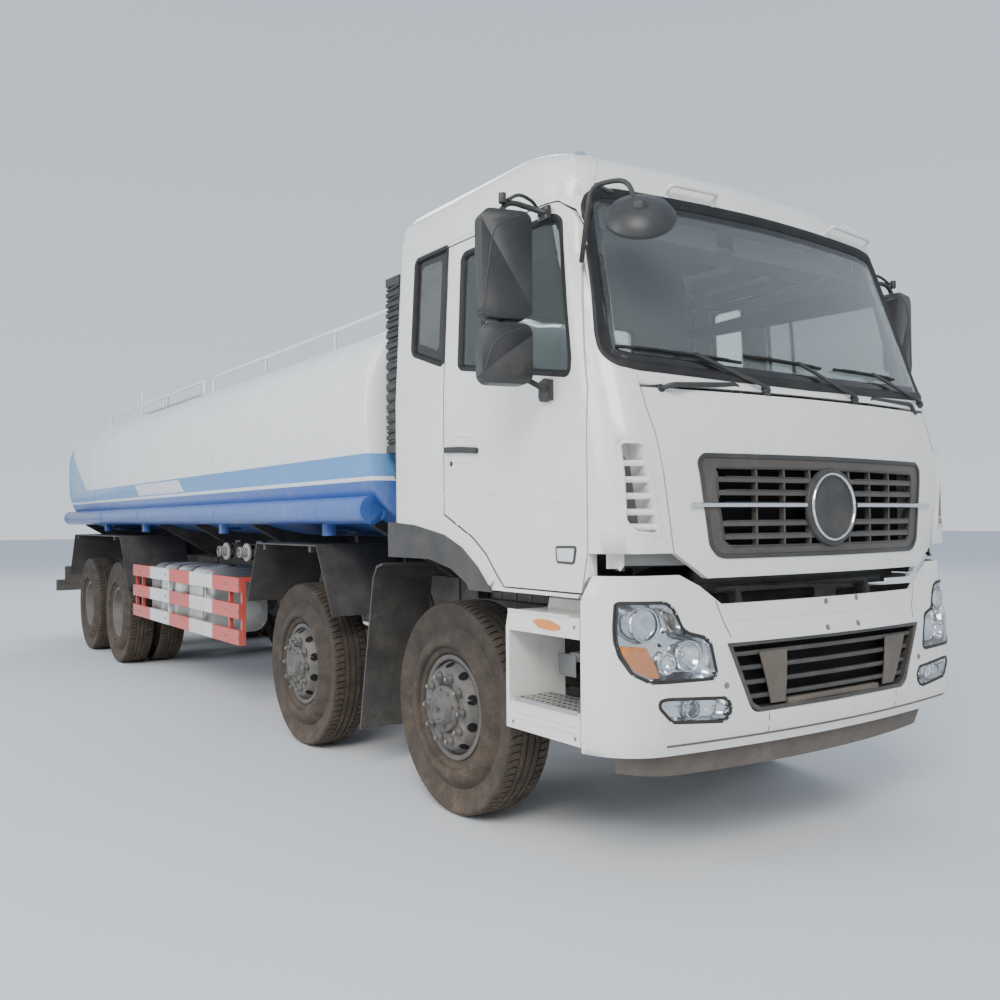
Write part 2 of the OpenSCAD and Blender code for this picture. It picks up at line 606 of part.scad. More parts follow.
// Rim and dished disc about the y axis, centred on y = 0; the disc's outer face lies at y = seat
disc_t = 14;
module rim_ring(seat, bore, join = 70) rotate([90, 0, 0]) rotate_extrude($fn = 96) polygon([
    [bore, -seat], [205, -seat], [rim_r - 10, -join - disc_t], [rim_r - 10, -rim_w / 2 - 2],
    [rim_r + 12, -rim_w / 2 - 6], [rim_r + 18, -rim_w / 2 - 2], [rim_r + 14, -rim_w / 2 + 4],
    [rim_r, -rim_w / 2 + 9], [rim_r, rim_w / 2 - 9],
    [rim_r + 14, rim_w / 2 - 4], [rim_r + 18, rim_w / 2 + 2], [rim_r + 12, rim_w / 2 + 6],
    [rim_r - 10, rim_w / 2 + 2], [rim_r - 10, -join + disc_t], [205, disc_t - seat], [bore, disc_t - seat]]);
nut_circle = 167.5;
module hub_bolts(y0, y1) for (i = [0:9]) rotate([0, 36 * i, 0]) rod_y(17, nut_circle, 0, y0, y1);
hub_flange = 150;
module front_wheel() color("#4a4c4e") difference() {
    union() {
        rim_ring(hub_flange, 120);
        rod_y(160, 0, 0, hub_flange - 195, hub_flange - disc_t + 1);
        rod_y(118, 0, 0, hub_flange - disc_t, hub_flange + 20);
        rod_y(82, 0, 0, hub_flange, hub_flange + 50);
        hub_bolts(hub_flange - 5, hub_flange + 28);
    }
    rod_y(spindle_r + running, 0, 0, hub_flange - 220, hub_flange - 40);
}
module twin_wheel() color("#4a4c4e") difference() {
    union() {
        translate([0, twin_pitch / 2, 0]) mirror([0, 1, 0]) rim_ring(twin_pitch / 2, 135);
        translate([0, -twin_pitch / 2, 0]) rim_ring(twin_pitch / 2, 135);
        rod_y(160, 0, 0, -120, -disc_t + 1);
        rod_y(134, 0, 0, -disc_t, 70);
        rod_y(120, 0, 0, 69, 190);
        hub_bolts(disc_t - 5, disc_t + 40);
    }
    rod_y(axle_end_r + running, 0, 0, -130, 150);
}
module drive_axles() color(black) for (x = [axle_x[2], axle_x[3]]) translate([x, 0, hub_z]) {
    rod_y(75, 0, 0, -twin_y + 130, twin_y - 130);
    both_sides() {
        rod_y(axle_end_r, 0, 0, twin_y - 135, twin_y + 140);
        rod_y(170, 0, 0, twin_y - 150, twin_y - 132);
    }
    rod_x(190, 0, 0, -110, 110);
    rod_x(85, 0, 40, 105, 300);
}
module engine_block() color("#55585a") block(-950, 560, -330, 330, 695, 1180);
module driveline() color(steel) {
    block(-1840, -952, -210, 210, 700, 1010);
    rod_x(48, 0, 800, -4200, -1842);
    rod_x(60, 0, 800, -4300, -4202);
    hull() { rod_x(46, 0, 800, -4320, -4302); rod_x(46, 0, hub_z + 60, axle_x[2] + 302, axle_x[2] + 320); }
    rod_x(46, 0, hub_z + 40, axle_x[3] + 302, axle_x[2] - 112);
}

// ---------- side equipment ----------
fuel_strap_x = [-5400, -4950, -4500];
module fuel_tank() color("#b9bbbb") {
    skin = rounded(-1135, 545, -535, 1130, 130, 6);
    strap = rounded(-1141, 539, -529, 1136, 136, 6);
    front_plate(skin, -5750, -4150);
    for (x = fuel_strap_x) difference() {
        front_plate(strap, x - 30, x + 30);
        front_plate(skin, x - 40, x + 40);
    }
    rod_z(60, -4300, -850, 1128, 1150);
    for (x = fuel_strap_x) block(x - 30, x + 30, -530, -rail_y - 1, 700, 760);
}
module battery_box() color(black) {
    block(-3900, -3150, 560, 1120, 560, 1010);
    block(-3910, -3140, 550, 1130, 1010, 1040);
    for (x = [-3800, -3250]) block(x - 30, x + 30, rail_y + 1, 562, 800, 860);
}
air_strap_x = [-5400, -4870];
module air_tanks() color(black) {
    for (p = [[620, 700], [900, 700], [760, 930]]) {
        rod_x(125, p[0], p[1], -5600, -4500);
        for (x = air_strap_x) rod_x(128, p[0], p[1], x - 20, x + 20);
    }
    for (x = air_strap_x) block(x - 20, x + 20, rail_y + 1, 660, 905, 950);
}
guard_x0 = -6200;
guard_x1 = -3000;
module side_guards() color("#c23a34") both_sides() {
    y = bumper_half - 25;
    for (z = [575, 780, 985]) block(guard_x0, guard_x1, y - 28, y, z, z + 115);
    for (x = [guard_x0 + 15, guard_x0 + 260, -5000, -3300, guard_x1 - 15])
        block(x - 15, x + 15, y - 56, y - 27, 575, 1100);
    for (x = [-6050, -3340]) block(x - 25, x + 25, rail_y + 1, y - 55, 1045, 1085);
}
// Flat-topped arch over a wheel; its feet stand at foot0 and foot1
fender_t = 8;
module fender(x0, x1, foot0, foot1, top, low, y0, y1) {
    outer = [[foot0, low], [x0, top], [x1, top], [foot1, low]];
    inner = [[foot1 - fender_t, low], [x1 - fender_t + 1, top - fender_t],
        [x0 + fender_t - 1, top - fender_t], [foot0 + fender_t, low]];
    side_plate(concat(outer, inner), y0, y1);
}
module mudguards() color(black) both_sides() {
    // flap behind the first wheel, with its bracket
    flap = [[-700, 1290], [-780, 1270], [-830, 1190], [-1010, 270], [-998, 270], [-818, 1186], [-772, 1258],
        [-700, 1278]];
    side_plate(flap, 760, 1165);
    block(-800, -770, rail_y + 1, 770, 960, 1000);
    side_plate([[-772, 960], [-772, 1000], [-838, 1100], [-850, 1090], [-800, 960]], 762, 780);
    // second wheel: arch, cross bars and posts
    top_2 = 1380;
    fender(axle_x[1] - 690, axle_x[1] + 390, axle_x[1] - 890, axle_x[1] + 640, top_2, 930, 640, 1200);
    for (x = [axle_x[1] - 560, axle_x[1] + 260]) {
        block(x - 20, x + 20, rail_y + 1, 1190, top_2 - 50, top_2 - 6);
        block(x - 20, x + 20, rail_y + 1, rail_y + 41, 900, top_2 - 49);
    }
    // rear bogie
    top_3 = 1392;
    fender(axle_x[3] - 740, axle_x[2] + 200, axle_x[3] - 1060, axle_x[2] + 560, top_3, 855, 560, 1240);
    for (x = [axle_x[3] - 600, axle_x[2] - 100]) {
        block(x - 20, x + 20, rail_y + 82, 1230, top_3 - 52, top_3 - 6);
        block(x - 20, x + 20, rail_y + 1, rail_y + 84, 1180, top_3 - 9);
    }
}

// ---------- tank ----------
function squarish(v) = sign(v) * pow(abs(v), 2 / tank_power);
function tank_outline(inset = 0, n = 72) = [for (i = [0:n - 1]) let (a = 360 * i / n)
    [(tank_w / 2 - inset) * squarish(cos(a)), tank_mid_z + (tank_h / 2 - inset) * squarish(sin(a))]];
module tank_section(x0, x1, inset = 0) front_plate(tank_outline(inset), x0, x1);
bearer_z = rail_top + subframe_h;
// Wide bearers carry the tank between the wheels, narrow ones pass inside the mudguards
wide_x = [-1100, -3200, -4700, -5900, -9400];
narrow_x = [-2300, -7040, -8100];
wide_bearer = [[rail_y, bearer_z], [1020, tank_z + 90], [1020, tank_z + 150]];
narrow_bearer = [[rail_y, bearer_z], [545, tank_z - 60], [545, tank_z + 60]];
module bearers(places, half) for (x = places) front_plate(concat(half, mirrored(half)), x - 30, x + 30);
module tank_cradle() color(black) {
    both_sides() block(tank_rear - 640, -tank_front - 60, rail_y - 80, rail_y, rail_top, bearer_z);
    difference() {
        union() {
            bearers(wide_x, wide_bearer);
            bearers(narrow_x, narrow_bearer);
        }
        tank_section(tank_rear - 100, 0, -1);
    }
    both_sides() for (x = concat(wide_x, narrow_x))
        block(x - 90, x + 90, rail_y + 1, rail_y + 13, rail_z + 100, bearer_z - 5);
}
manhole_x = [-3100, -8000];
collar_h = 70;
tank_top = tank_z + tank_h;
module water_tank() color(white) {
    tank_section(tank_rear + dish, -tank_front - dish);
    shell() both_ends();
    for (x = manhole_x) difference() {
        rod_z(manhole_r, x, 0, tank_top - 40, tank_top + collar_h);
        rod_z(manhole_r - 12, x, 0, tank_top + 4, tank_top + collar_h + 1);
    }
}
module dish_end(x, dir) {
    // share of the dish's depth against the share of the section's size
    steps = [[0, 1], [0.25, 0.996], [0.5, 0.98], [0.72, 0.92], [0.88, 0.83], [0.97, 0.69], [1, 0.44]];
    n = 72;
    rings = [for (s = steps, p = tank_outline(0, n))
        [x + dir * dish * s[0], p[0] * s[1], tank_mid_z + (p[1] - tank_mid_z) * s[1]]];
    last = len(steps) - 1;
    faces = [for (i = [0:last - 1], k = [0:n - 1]) let (a = i * n + k, b = i * n + (k + 1) % n)
        each dir > 0 ? [[a, a + n, b], [b, a + n, b + n]] : [[a, b, a + n], [b, b + n, a + n]]];
    caps = dir > 0 ? [[for (k = [0:n - 1]) k], [for (k = [n - 1:-1:0]) last * n + k]]
        : [[for (k = [n - 1:-1:0]) k], [for (k = [0:n - 1]) last * n + k]];
    polyhedron(rings, concat(caps, faces));
}
module both_ends() { dish_end(-tank_front - dish, 1); dish_end(tank_rear + dish, -1); }
module manhole_lid(x) color(white) {
    rod_z(manhole_r + 14, x, 0, tank_top + collar_h + 5, tank_top + collar_h + 17);
    rod_z(120, x, 0, tank_top + collar_h + 16, tank_top + collar_h + 30);
    rod_y(11, x - manhole_r - 30, tank_top + collar_h + 12, -60, 60);
    block(x - manhole_r - 30, x - manhole_r + 20, -40, 40, tank_top + collar_h + 6, tank_top + collar_h + 17);
    block(x + manhole_r - 10, x + manhole_r + 55, -20, 20, tank_top + collar_h + 7, tank_top + collar_h + 17);
}
tube_x0 = tank_rear - 225;
tube_x1 = -tank_front - 104;
tube_bracket_x = [-1500, -3560, -5980, -7640];
module hose_tubes() color(blue) both_sides() {
    difference() {
        rod_x(hose_tube_r, hose_tube_y, hose_tube_z, tube_x0, tube_x1);
        tank_section(tank_rear, -tank_front, -1);
    }
    for (x = tube_bracket_x) {
        block(x - 40, x + 40, hose_tube_y - 45, hose_tube_y + 15, 1440, hose_tube_z - hose_tube_r + 12);
        block(x - 30, x + 30, 1000, hose_tube_y - 30, 1470, 1490);
    }
}
rail_top_z = 2965;
walk_y = 705;
rail_r = 15;
function tank_height(y) = tank_mid_z
    + tank_h / 2 * pow(1 - pow(abs(y) / (tank_w / 2), tank_power), 1 / tank_power);
module rail_run(x0, x1, posts) {
    foot = tank_height(walk_y - rail_r) + 1;
    corners = [[x0, walk_y, foot], [x0, walk_y, rail_top_z], [x1, walk_y, rail_top_z], [x1, walk_y, foot]];
    pipe(pipe_points(corners, 90), rail_r);
    for (i = [1:posts]) let (x = x0 + (x1 - x0) * i / (posts + 1))
        pipe([[x, walk_y, foot], [x, walk_y, rail_top_z]], rail_r - 2, [0, 1, 0]);
}
module handrails() color("#dcdcd8") shell() both_sides() {
    rail_run(tank_rear + 120, -5400, 2);
    rail_run(-5120, -tank_front - 160, 2);
}
ladder_y = [-300, 40];
ladder_x = tank_rear - 70;
ladder_top = 3310;
module rear_ladder() color("#dcdcd8") {
    shell() for (y = ladder_y) pipe(pipe_points([[ladder_x, y, 1095], [ladder_x, y, ladder_top],
        [ladder_x + 170, y, ladder_top], [ladder_x + 190, y, tank_top + 3]], 80), 14, [0, 1, 0]);
    for (i = [0:5]) rod_y(10, ladder_x, 1350 + 270 * i, ladder_y[0] + 10, ladder_y[1] - 10);
    for (z = [1900, 2600], y = ladder_y) rod_x(9, y, z, ladder_x + 12, tank_rear - 1);
    // low rear deck and its frame
    block(rear_x + 90, tank_rear - 20, -600, 600, bearer_z + 2, bearer_z + 10);
    for (y = [-600, 560]) block(rear_x + 90, tank_rear - 20, y, y + 40, bearer_z - 38, bearer_z + 3);
    block(rear_x + 90, rear_x + 130, -600, 600, bearer_z - 38, bearer_z + 3);
}
module rear_beam() color(black) {
    block(rear_x, rear_x + 90, -bumper_half, bumper_half, 600, 750);
    both_sides() {
        block(rear_x + 20, rear_x + 80, 380, 440, 750, 960);
        block(rear_x + 20, rail_x0 + 60, 432, 444, 860, 960);
        block(rear_x + 50, rear_x + 70, 690, 1130, 745, 830);
        block(rear_x + 48, rear_x + 62, 690, 1130, 825, 935);
    }
}
// Pump under the tank's middle with suction and outlet pipes and two side valves
outlet_r = 42;
module water_pump() color("#8d9092") {
    rod_x(150, -640, 1230, -3650, -3420);
    rod_x(60, -640, 1230, -3420, -3330);
    rod_z(52, -3535, -640, 1370, tank_z + 17);
    block(-3640, -3440, -560, -rail_y - 1, 1130, 1160);
    for (x = [-3860, -3360]) difference() {
        union() {
            rod_y(38, x, 1285, -1010, -640);
            rod_y(70, x, 1285, -1022, -1002);
            rod_y(62, x, 1285, -960, -880);
            rod_y(outlet_r, x, 1285, -1085, -1015);
            rod_z(8, x, -920, 1300, 1372);
            block(x - 12, x + 90, -930, -910, 1362, 1374);
        }
        rod_y(30, x, 1285, -1090, -700);
    }
    rod_x(38, -640, 1285, -3860, -3640);
    rod_x(38, -640, 1285, -3430, -3360);
}

// ---------- wheels in place ----------
function wheel_place(i) = [axle_x[i], i < 2 ? wheel_y : twin_y, hub_z];
// Pieces are drawn for the left side, and mirrored for the right
module on_side(side) if (side == "left") children(); else mirror([0, 1, 0]) children();
module at_wheel(axle, side) at_frame() on_side(side) translate(wheel_place(axle - 1)) children();
module twin_tyres() for (y = [-twin_pitch / 2, twin_pitch / 2]) translate([0, y, 0]) tyre_ring();
rubber = "#1d1d1e";

at_frame() chassis_frame();
at_frame() leaf_springs();
at_frame() steer_axles();
at_frame() drive_axles();
at_frame() engine_block();
at_frame() driveline();
at_frame() front_bumper();
at_frame() lamps();
at_frame() cab_steps();
at_frame() fuel_tank();
at_frame() battery_box();
at_frame() air_tanks();
at_frame() side_guards();
at_frame() mudguards();
at_frame() tank_cradle();
at_frame() water_tank();
at_frame() hose_tubes();
at_frame() handrails();
at_frame() water_pump();
at_frame() rear_ladder();
at_frame() rear_beam();
at_frame() manhole_lid(manhole_x[0]);  // front_manhole_lid
at_frame() manhole_lid(manhole_x[1]);  // rear_manhole_lid
at_frame() cab_shell();
at_frame() cab_roof();
at_frame() cab_glass();
at_frame() wheel_arch_trims();
at_frame() dashboard();
at_frame() steering_wheel();
at_frame() seats();
at_frame() front_mirror();
at_frame() air_intake();
at_frame() front_panel();
at_frame() grille();
for (side = ["right", "left"]) {
    at_frame() on_side(side) door_panel();
    at_frame() on_side(side) door_glass();
    at_frame() on_side(side) mirrors();
    for (axle = [1, 2]) {
        name = str(axle, "_", side);
        at_frame() on_side(side) translate([axle_x[axle - 1], 0, 0]) knuckle();
        at_wheel(axle, side) front_wheel();
        at_wheel(axle, side) color(rubber) tyre_ring();
    }
    for (axle = [3, 4]) {
        name = str(axle, "_", side);
        at_wheel(axle, side) twin_wheel();
        at_wheel(axle, side) color(rubber) twin_tyres();
    }
}
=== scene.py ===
"""Tanker truck: finishes, trim, lamps, tyres and cushions laid over the fixed construction model."""

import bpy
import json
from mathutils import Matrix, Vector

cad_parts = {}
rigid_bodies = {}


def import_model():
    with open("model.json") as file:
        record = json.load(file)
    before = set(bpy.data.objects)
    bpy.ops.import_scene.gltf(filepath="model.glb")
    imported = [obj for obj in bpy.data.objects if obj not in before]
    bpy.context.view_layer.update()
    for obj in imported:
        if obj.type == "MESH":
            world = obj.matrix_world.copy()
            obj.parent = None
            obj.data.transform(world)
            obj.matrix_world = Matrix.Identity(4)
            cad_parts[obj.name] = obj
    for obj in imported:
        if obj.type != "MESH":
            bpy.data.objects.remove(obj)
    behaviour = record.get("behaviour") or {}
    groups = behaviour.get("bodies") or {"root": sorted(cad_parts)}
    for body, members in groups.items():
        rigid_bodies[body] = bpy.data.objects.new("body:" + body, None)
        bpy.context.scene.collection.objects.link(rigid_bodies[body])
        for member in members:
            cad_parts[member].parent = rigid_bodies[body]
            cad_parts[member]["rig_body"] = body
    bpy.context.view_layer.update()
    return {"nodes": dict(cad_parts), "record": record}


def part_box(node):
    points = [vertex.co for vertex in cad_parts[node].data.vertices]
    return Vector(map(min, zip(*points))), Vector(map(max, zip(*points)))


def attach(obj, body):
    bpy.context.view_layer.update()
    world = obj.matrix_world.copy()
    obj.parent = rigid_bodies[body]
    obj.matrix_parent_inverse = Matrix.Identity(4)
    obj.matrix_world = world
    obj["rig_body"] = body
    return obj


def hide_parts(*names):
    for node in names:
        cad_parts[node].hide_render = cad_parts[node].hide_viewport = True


bl_info = {
    "name": "Tanker Truck Finisher",
    "version": (1, 0, 0),
    "blender": (4, 5, 0),
    "location": "View3D > Sidebar > Tanker",
    "description": "Dresses the construction model of a four-axle tanker truck",
    "category": "Object",
}

import json
import math

import bmesh
import bpy
from mathutils import Matrix, Vector
from mathutils.bvhtree import BVHTree

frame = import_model()
NODE_SLOT = {row["node"]: row["material_slot"] for row in frame["record"]["subparts"]}
NODE_BODY = {name: node["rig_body"] for name, node in frame["nodes"].items()}
FRONT_AXLE = (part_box("tyre_1_right")[0][0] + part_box("tyre_1_right")[1][0]) / 2
SIDES = (("right", -1), ("left", 1))
finishes = {}


# ---------- places, in millimetres from the front axle ----------

def at(x, y, z):
    """A place in millimetres from the front axle, middle of the truck and ground, in metres of the frame."""
    return Vector((FRONT_AXLE + x / 1000, y / 1000, z / 1000))


def rounded(points, radius, closed=False, steps=4):
    """The same run of points with each corner turned into a short arc."""
    points = [Vector(p) for p in points]
    count = len(points)
    out = []
    for i, corner in enumerate(points):
        if not closed and i in (0, count - 1):
            out.append(corner)
            continue
        before, after = points[i - 1] - corner, points[(i + 1) % count] - corner
        reach = min(radius, before.length * 0.45, after.length * 0.45)
        start, end = corner + before.normalized() * reach, corner + after.normalized() * reach
        for k in range(steps + 1):
            t = k / steps
            out.append(start * (1 - t) ** 2 + corner * 2 * t * (1 - t) + end * t * t)
    return out


def stepped(points, step, closed=False):
    """The same run of points with no gap longer than step."""
    points = [Vector(p) for p in points]
    out = []
    for i in range(len(points) if closed else len(points) - 1):
        a, b = points[i], points[(i + 1) % len(points)]
        parts = max(1, math.ceil((b - a).length / step))
        out += [a.lerp(b, k / parts) for k in range(parts)]
    return out if closed else out + [points[-1]]


def grown(outline, distance):
    """A closed flat outline moved outwards by distance, or inwards where it is negative."""
    points = [Vector(p).to_2d() for p in outline]
    area = sum(a.x * b.y - b.x * a.y for a, b in zip(points, points[1:] + points[:1]))
    out = []
    for i, p in enumerate(points):
        a, b = (p - points[i - 1]), (points[(i + 1) % len(points)] - p)
        a, b = (a if a.length > 1e-9 else b).normalized(), (b if b.length > 1e-9 else a).normalized()
        normal = Vector((a.y + b.y, -a.x - b.x))
        normal = normal.normalized() if normal.length > 1e-6 else Vector((a.y, -a.x))
        miter = min(1.6, 1 / max(0.3, normal.dot(Vector((a.y, -a.x)))))
        out.append(p + normal * distance * miter * (1 if area > 0 else -1))
    return out


def mirrored(outline):
    """The points of one half followed by their reflection, for an outline even about the middle."""
    return [Vector(p) for p in outline] + [Vector((-p[0], p[1])) for p in reversed(outline)]


class Skin:
    """The outer faces of some construction nodes, to lay trim on."""

    def __init__(self, *nodes):
        points, faces = [], []
        for name in nodes:
            mesh = frame["nodes"][name].data
            first = len(points)
            points += [v.co.copy() for v in mesh.vertices]
            faces += [[first + i for i in p.vertices] for p in mesh.polygons]
        self.tree = BVHTree.FromPolygons(points, faces)

    def drop(self, face, u, v, lift=0.0):
        """The place on the skin seen at (u, v) from the front, right, left, back or top, raised by lift mm."""
        start, way = {
            "front": (at(4000, u, v), Vector((-1, 0, 0))),
            "back": (at(-14000, u, v), Vector((1, 0, 0))),
            "right": (at(u, -4000, v), Vector((0, 1, 0))),
            "left": (at(u, 4000, v), Vector((0, -1, 0))),
            "top": (at(u, v, 6000), Vector((0, 0, -1))),
        }[face]
        # a ray may slip between two faces along their shared edge, so two rays beside it are tried too
        place, normal, _, reach = self.tree.ray_cast(start, way)
        for beside in (Vector((2e-5, 3e-5, -2e-5)), Vector((-3e-5, -2e-5, 3e-5))):
            other, slope, _, far = self.tree.ray_cast(start + beside, way)
            if other is not None and (place is None or far < reach - 0.005):
                place, normal, reach = other, slope, far
        if place is None or (face == "front" and reach > 5.0):
            near, normal, _, _ = self.tree.find_nearest(start + way * 2.6)
            place = near
        if normal.dot(way) > 0:
            normal = -normal
        return place + normal * lift / 1000, normal

    def trail(self, face, points, lift=0.0, step=25, closed=False):
        """A run of flat points laid on the skin, with a smoothed normal at each."""
        spots = [self.drop(face, p[0], p[1], lift) for p in stepped(points, step, closed)]
        places = [s[0] for s in spots]
        normals = [s[1] for s in spots]
        count = len(spots)
        soft = []
        for i in range(count):
            near = [normals[(i + k) % count if closed else min(max(i + k, 0), count - 1)] for k in (-1, 0, 1)]
            soft.append(sum(near, Vector()).normalized())
        return places, soft


# ---------- shapes ----------

class Shape:
    """Gathers the solids of one piece before they become its mesh. Sizes are in metres."""

    def __init__(self):
        self.bm = bmesh.new()

    def stack(self, loops, capped=True, joined=False):
        """Loops of equally many points bridged one to the next into a skin, capped at both ends."""
        rings = [[self.bm.verts.new(p) for p in loop] for loop in loops]
        count = len(rings[0])
        pairs = list(zip(rings, rings[1:])) + ([(rings[-1], rings[0])] if joined else [])
        for a, b in pairs:
            for i in range(count):
                j = (i + 1) % count
                self.bm.faces.new((a[i], a[j], b[j], b[i]))
        if capped and not joined:
            self.bm.faces.new(list(reversed(rings[0])))
            self.bm.faces.new(rings[-1])
        return self

    def block(self, low, high, bevel=0.0, turn=None, segments=2):
        """A box between two corners given in millimetres from the axle, with rounded edges."""
        low, high = at(*low), at(*high)
        made = bmesh.ops.create_cube(self.bm, size=1.0)["verts"]
        middle, size = (low + high) / 2, high - low
        place = Matrix.Translation(middle) @ (turn.to_4x4() if turn else Matrix.Identity(4))
        bmesh.ops.transform(self.bm, matrix=place @ Matrix.Diagonal((*size, 1)), verts=made)
        self._round(made, bevel, segments)
        return self

    def _round(self, verts, bevel, segments=2):
        if bevel:
            edges = list({e for v in verts for e in v.link_edges})
            bmesh.ops.bevel(self.bm, geom=edges, offset=bevel / 1000, segments=segments, affect="EDGES",
                            profile=0.5, clamp_overlap=True)

    def plate(self, front, back, bevel=0.0, segments=2):
        """A solid between two matching outlines, with rounded edges."""
        before = set(self.bm.verts)
        self.stack([back, front])
        self._round([v for v in self.bm.verts if v not in before], bevel, segments)
        return self

    def turned(self, profile, centre, axis=(0, 1, 0), sides=48, closed=False):
        """A profile of (distance along, radius) in millimetres turned about an axis through centre."""
        axis = Vector(axis).normalized()
        across = axis.orthogonal().normalized()
        other = axis.cross(across)
        loops = []
        for along, radius in profile:
            loops.append([
                centre + axis * along / 1000
                + (across * math.cos(a) + other * math.sin(a)) * max(radius, 0.05) / 1000
                for a in (2 * math.pi * k / sides for k in range(sides))])
        return self.stack(loops, joined=closed)

    def sweep(self, places, section, outs=None, closed=False):
        """A section of (across, out) millimetres carried along places; outs are the ways that out points."""
        count = len(places)
        loops, carried = [], None
        for i, p in enumerate(places):
            a = places[i - 1] if closed or i else p
            b = places[(i + 1) % count] if closed or i < count - 1 else p
            along = (b - a).normalized()
            if outs:
                out = outs[i]
            else:
                out = carried or (Vector((0, 0, 1)) if abs(along.z) < 0.9 else Vector((1, 0, 0)))
            out = (out - along * out.dot(along)).normalized()
            carried = out
            side = along.cross(out)
            widen = 1.0
            if (p - a).length > 1e-7 and (b - p).length > 1e-7:
                widen = 1 / max(0.55, along.dot((p - a).normalized()))
            loops.append([p + side * s * widen / 1000 + out * o / 1000 for s, o in section])
        return self.stack(loops, capped=not closed, joined=closed)

    def tube(self, points, radius, bend=0.0, sides=10, closed=False):
        """A round bar in millimetres through points in millimetres from the axle."""
        run = rounded(points, bend, closed) if bend else [Vector(p) for p in points]
        ring = [(radius * math.cos(2 * math.pi * k / sides), radius * math.sin(2 * math.pi * k / sides))
                for k in range(sides)]
        return self.sweep([at(*p) for p in run], ring, closed=closed)

    def rod(self, a, b, radius, sides=24, bevel=0.0, end_radius=None):
        """A straight round bar between two places in millimetres from the axle, with softened ends."""
        start, way = at(*a), at(*b) - at(*a)
        length = way.length * 1000
        last = end_radius or radius
        soft = min(bevel, length / 3, radius / 2)
        profile = [(0, radius - soft), (soft * 0.3, radius - soft * 0.3), (soft, radius), (length - soft, last),
                   (length - soft * 0.3, last - soft * 0.3), (length, last - soft)] if soft else \
                  [(0, radius), (length, last)]
        return self.turned(profile, start, way, sides)

    def patch(self, skin, face, outline, lift, thick, rings=5, mid=None):
        """A thin plate that follows the skin inside a closed outline."""
        outline = [Vector(p).to_2d() for p in outline]
        mid = Vector(mid) if mid else sum(outline, Vector((0, 0))) / len(outline)
        shares = [0.02] + [(k + 1) / rings for k in range(rings)]
        fronts = [[skin.drop(face, *mid.lerp(p, s), lift) for p in outline] for s in shares]
        loops = [[p for p, _ in loop] for loop in fronts]
        backs = [[p - n * thick / 1000 for p, n in loop] for loop in reversed(fronts)]
        return self.stack(loops + backs)

    def ridge(self, skin, face, points, width, height, lift=0.0, step=25, closed=False, sink=2.0):
        """A low round-backed bead along a run laid on the skin."""
        places, outs = skin.trail(face, points, lift, step, closed)
        half = width / 2
        section = [(-half, -sink), (-half, height * 0.45), (-half * 0.6, height * 0.9), (0, height),
                   (half * 0.6, height * 0.9), (half, height * 0.45), (half, -sink)]
        return self.sweep(places, section, outs, closed)

    def border(self, skin, face, outline, inner, outer, height, step=25, sink=3.0, round_by=0):
        """A raised frame over the edge of an opening, from inner mm within its outline to outer mm beyond."""
        run = stepped(rounded(outline, round_by, True) if round_by else outline, step, True)
        across = {"front": lambda q: Vector((0, q.x, q.y)), "back": lambda q: Vector((0, q.x, q.y)),
                  "top": lambda q: Vector((q.x, q.y, 0))}.get(face, lambda q: Vector((q.x, 0, q.y)))
        rim, beyond = grown(run, min(4, outer * 0.4)), grown(run, outer)
        over, within = grown(run, -min(7, inner * 0.4)), grown(run, -inner)
        levels = [[skin.drop(face, p.x, p.y, lift)[0] for p in beyond] for lift in (-sink, height * 0.6)]
        crest = [skin.drop(face, p.x, p.y, height) for p in rim]
        levels.append([p for p, _ in crest])
        levels.append([p + across(q - r) / 1000 for (p, _), q, r in zip(crest, over, rim)])
        levels += [[skin.drop(face, p.x, p.y, lift)[0] for p in within] for lift in (height * 0.6, -sink)]
        return self.stack(levels, joined=True)


def finish_piece(name, shape, finish, body, sharp=32):
    """Makes the shape a mesh piece of one finish that rides on a body."""
    bmesh.ops.recalc_face_normals(shape.bm, faces=shape.bm.faces)
    mesh = bpy.data.meshes.new(name)
    shape.bm.to_mesh(mesh)
    shape.bm.free()
    return settle(name, mesh, finish, body, sharp)


def settle(name, mesh, finish, body, sharp=32):
    """Puts a mesh in the scene with its finish, smooth faces and body."""
    mesh.materials.clear()
    mesh.materials.append(finishes[finish])
    mesh.polygons.foreach_set("use_smooth", [True] * len(mesh.polygons))
    mesh.set_sharp_from_angle(angle=math.radians(sharp))
    mesh.update()
    piece = bpy.data.objects.new(name, mesh)
    bpy.context.scene.collection.objects.link(piece)
    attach(piece, body)
    return piece


# ---------- repeated shapes ----------

def tree_with(name, sockets):
    """A geometry tree with a geometry input and output and the given named inputs."""
    tree = bpy.data.node_groups.new(name, "GeometryNodeTree")
    tree.interface.new_socket("Geometry", in_out="INPUT", socket_type="NodeSocketGeometry")
    for label, kind, value in sockets:
        socket = tree.interface.new_socket(label, in_out="INPUT", socket_type=kind)
        if value is not None:
            socket.default_value = value
    tree.interface.new_socket("Geometry", in_out="OUTPUT", socket_type="NodeSocketGeometry")
    return tree, tree.nodes.new("NodeGroupInput").outputs


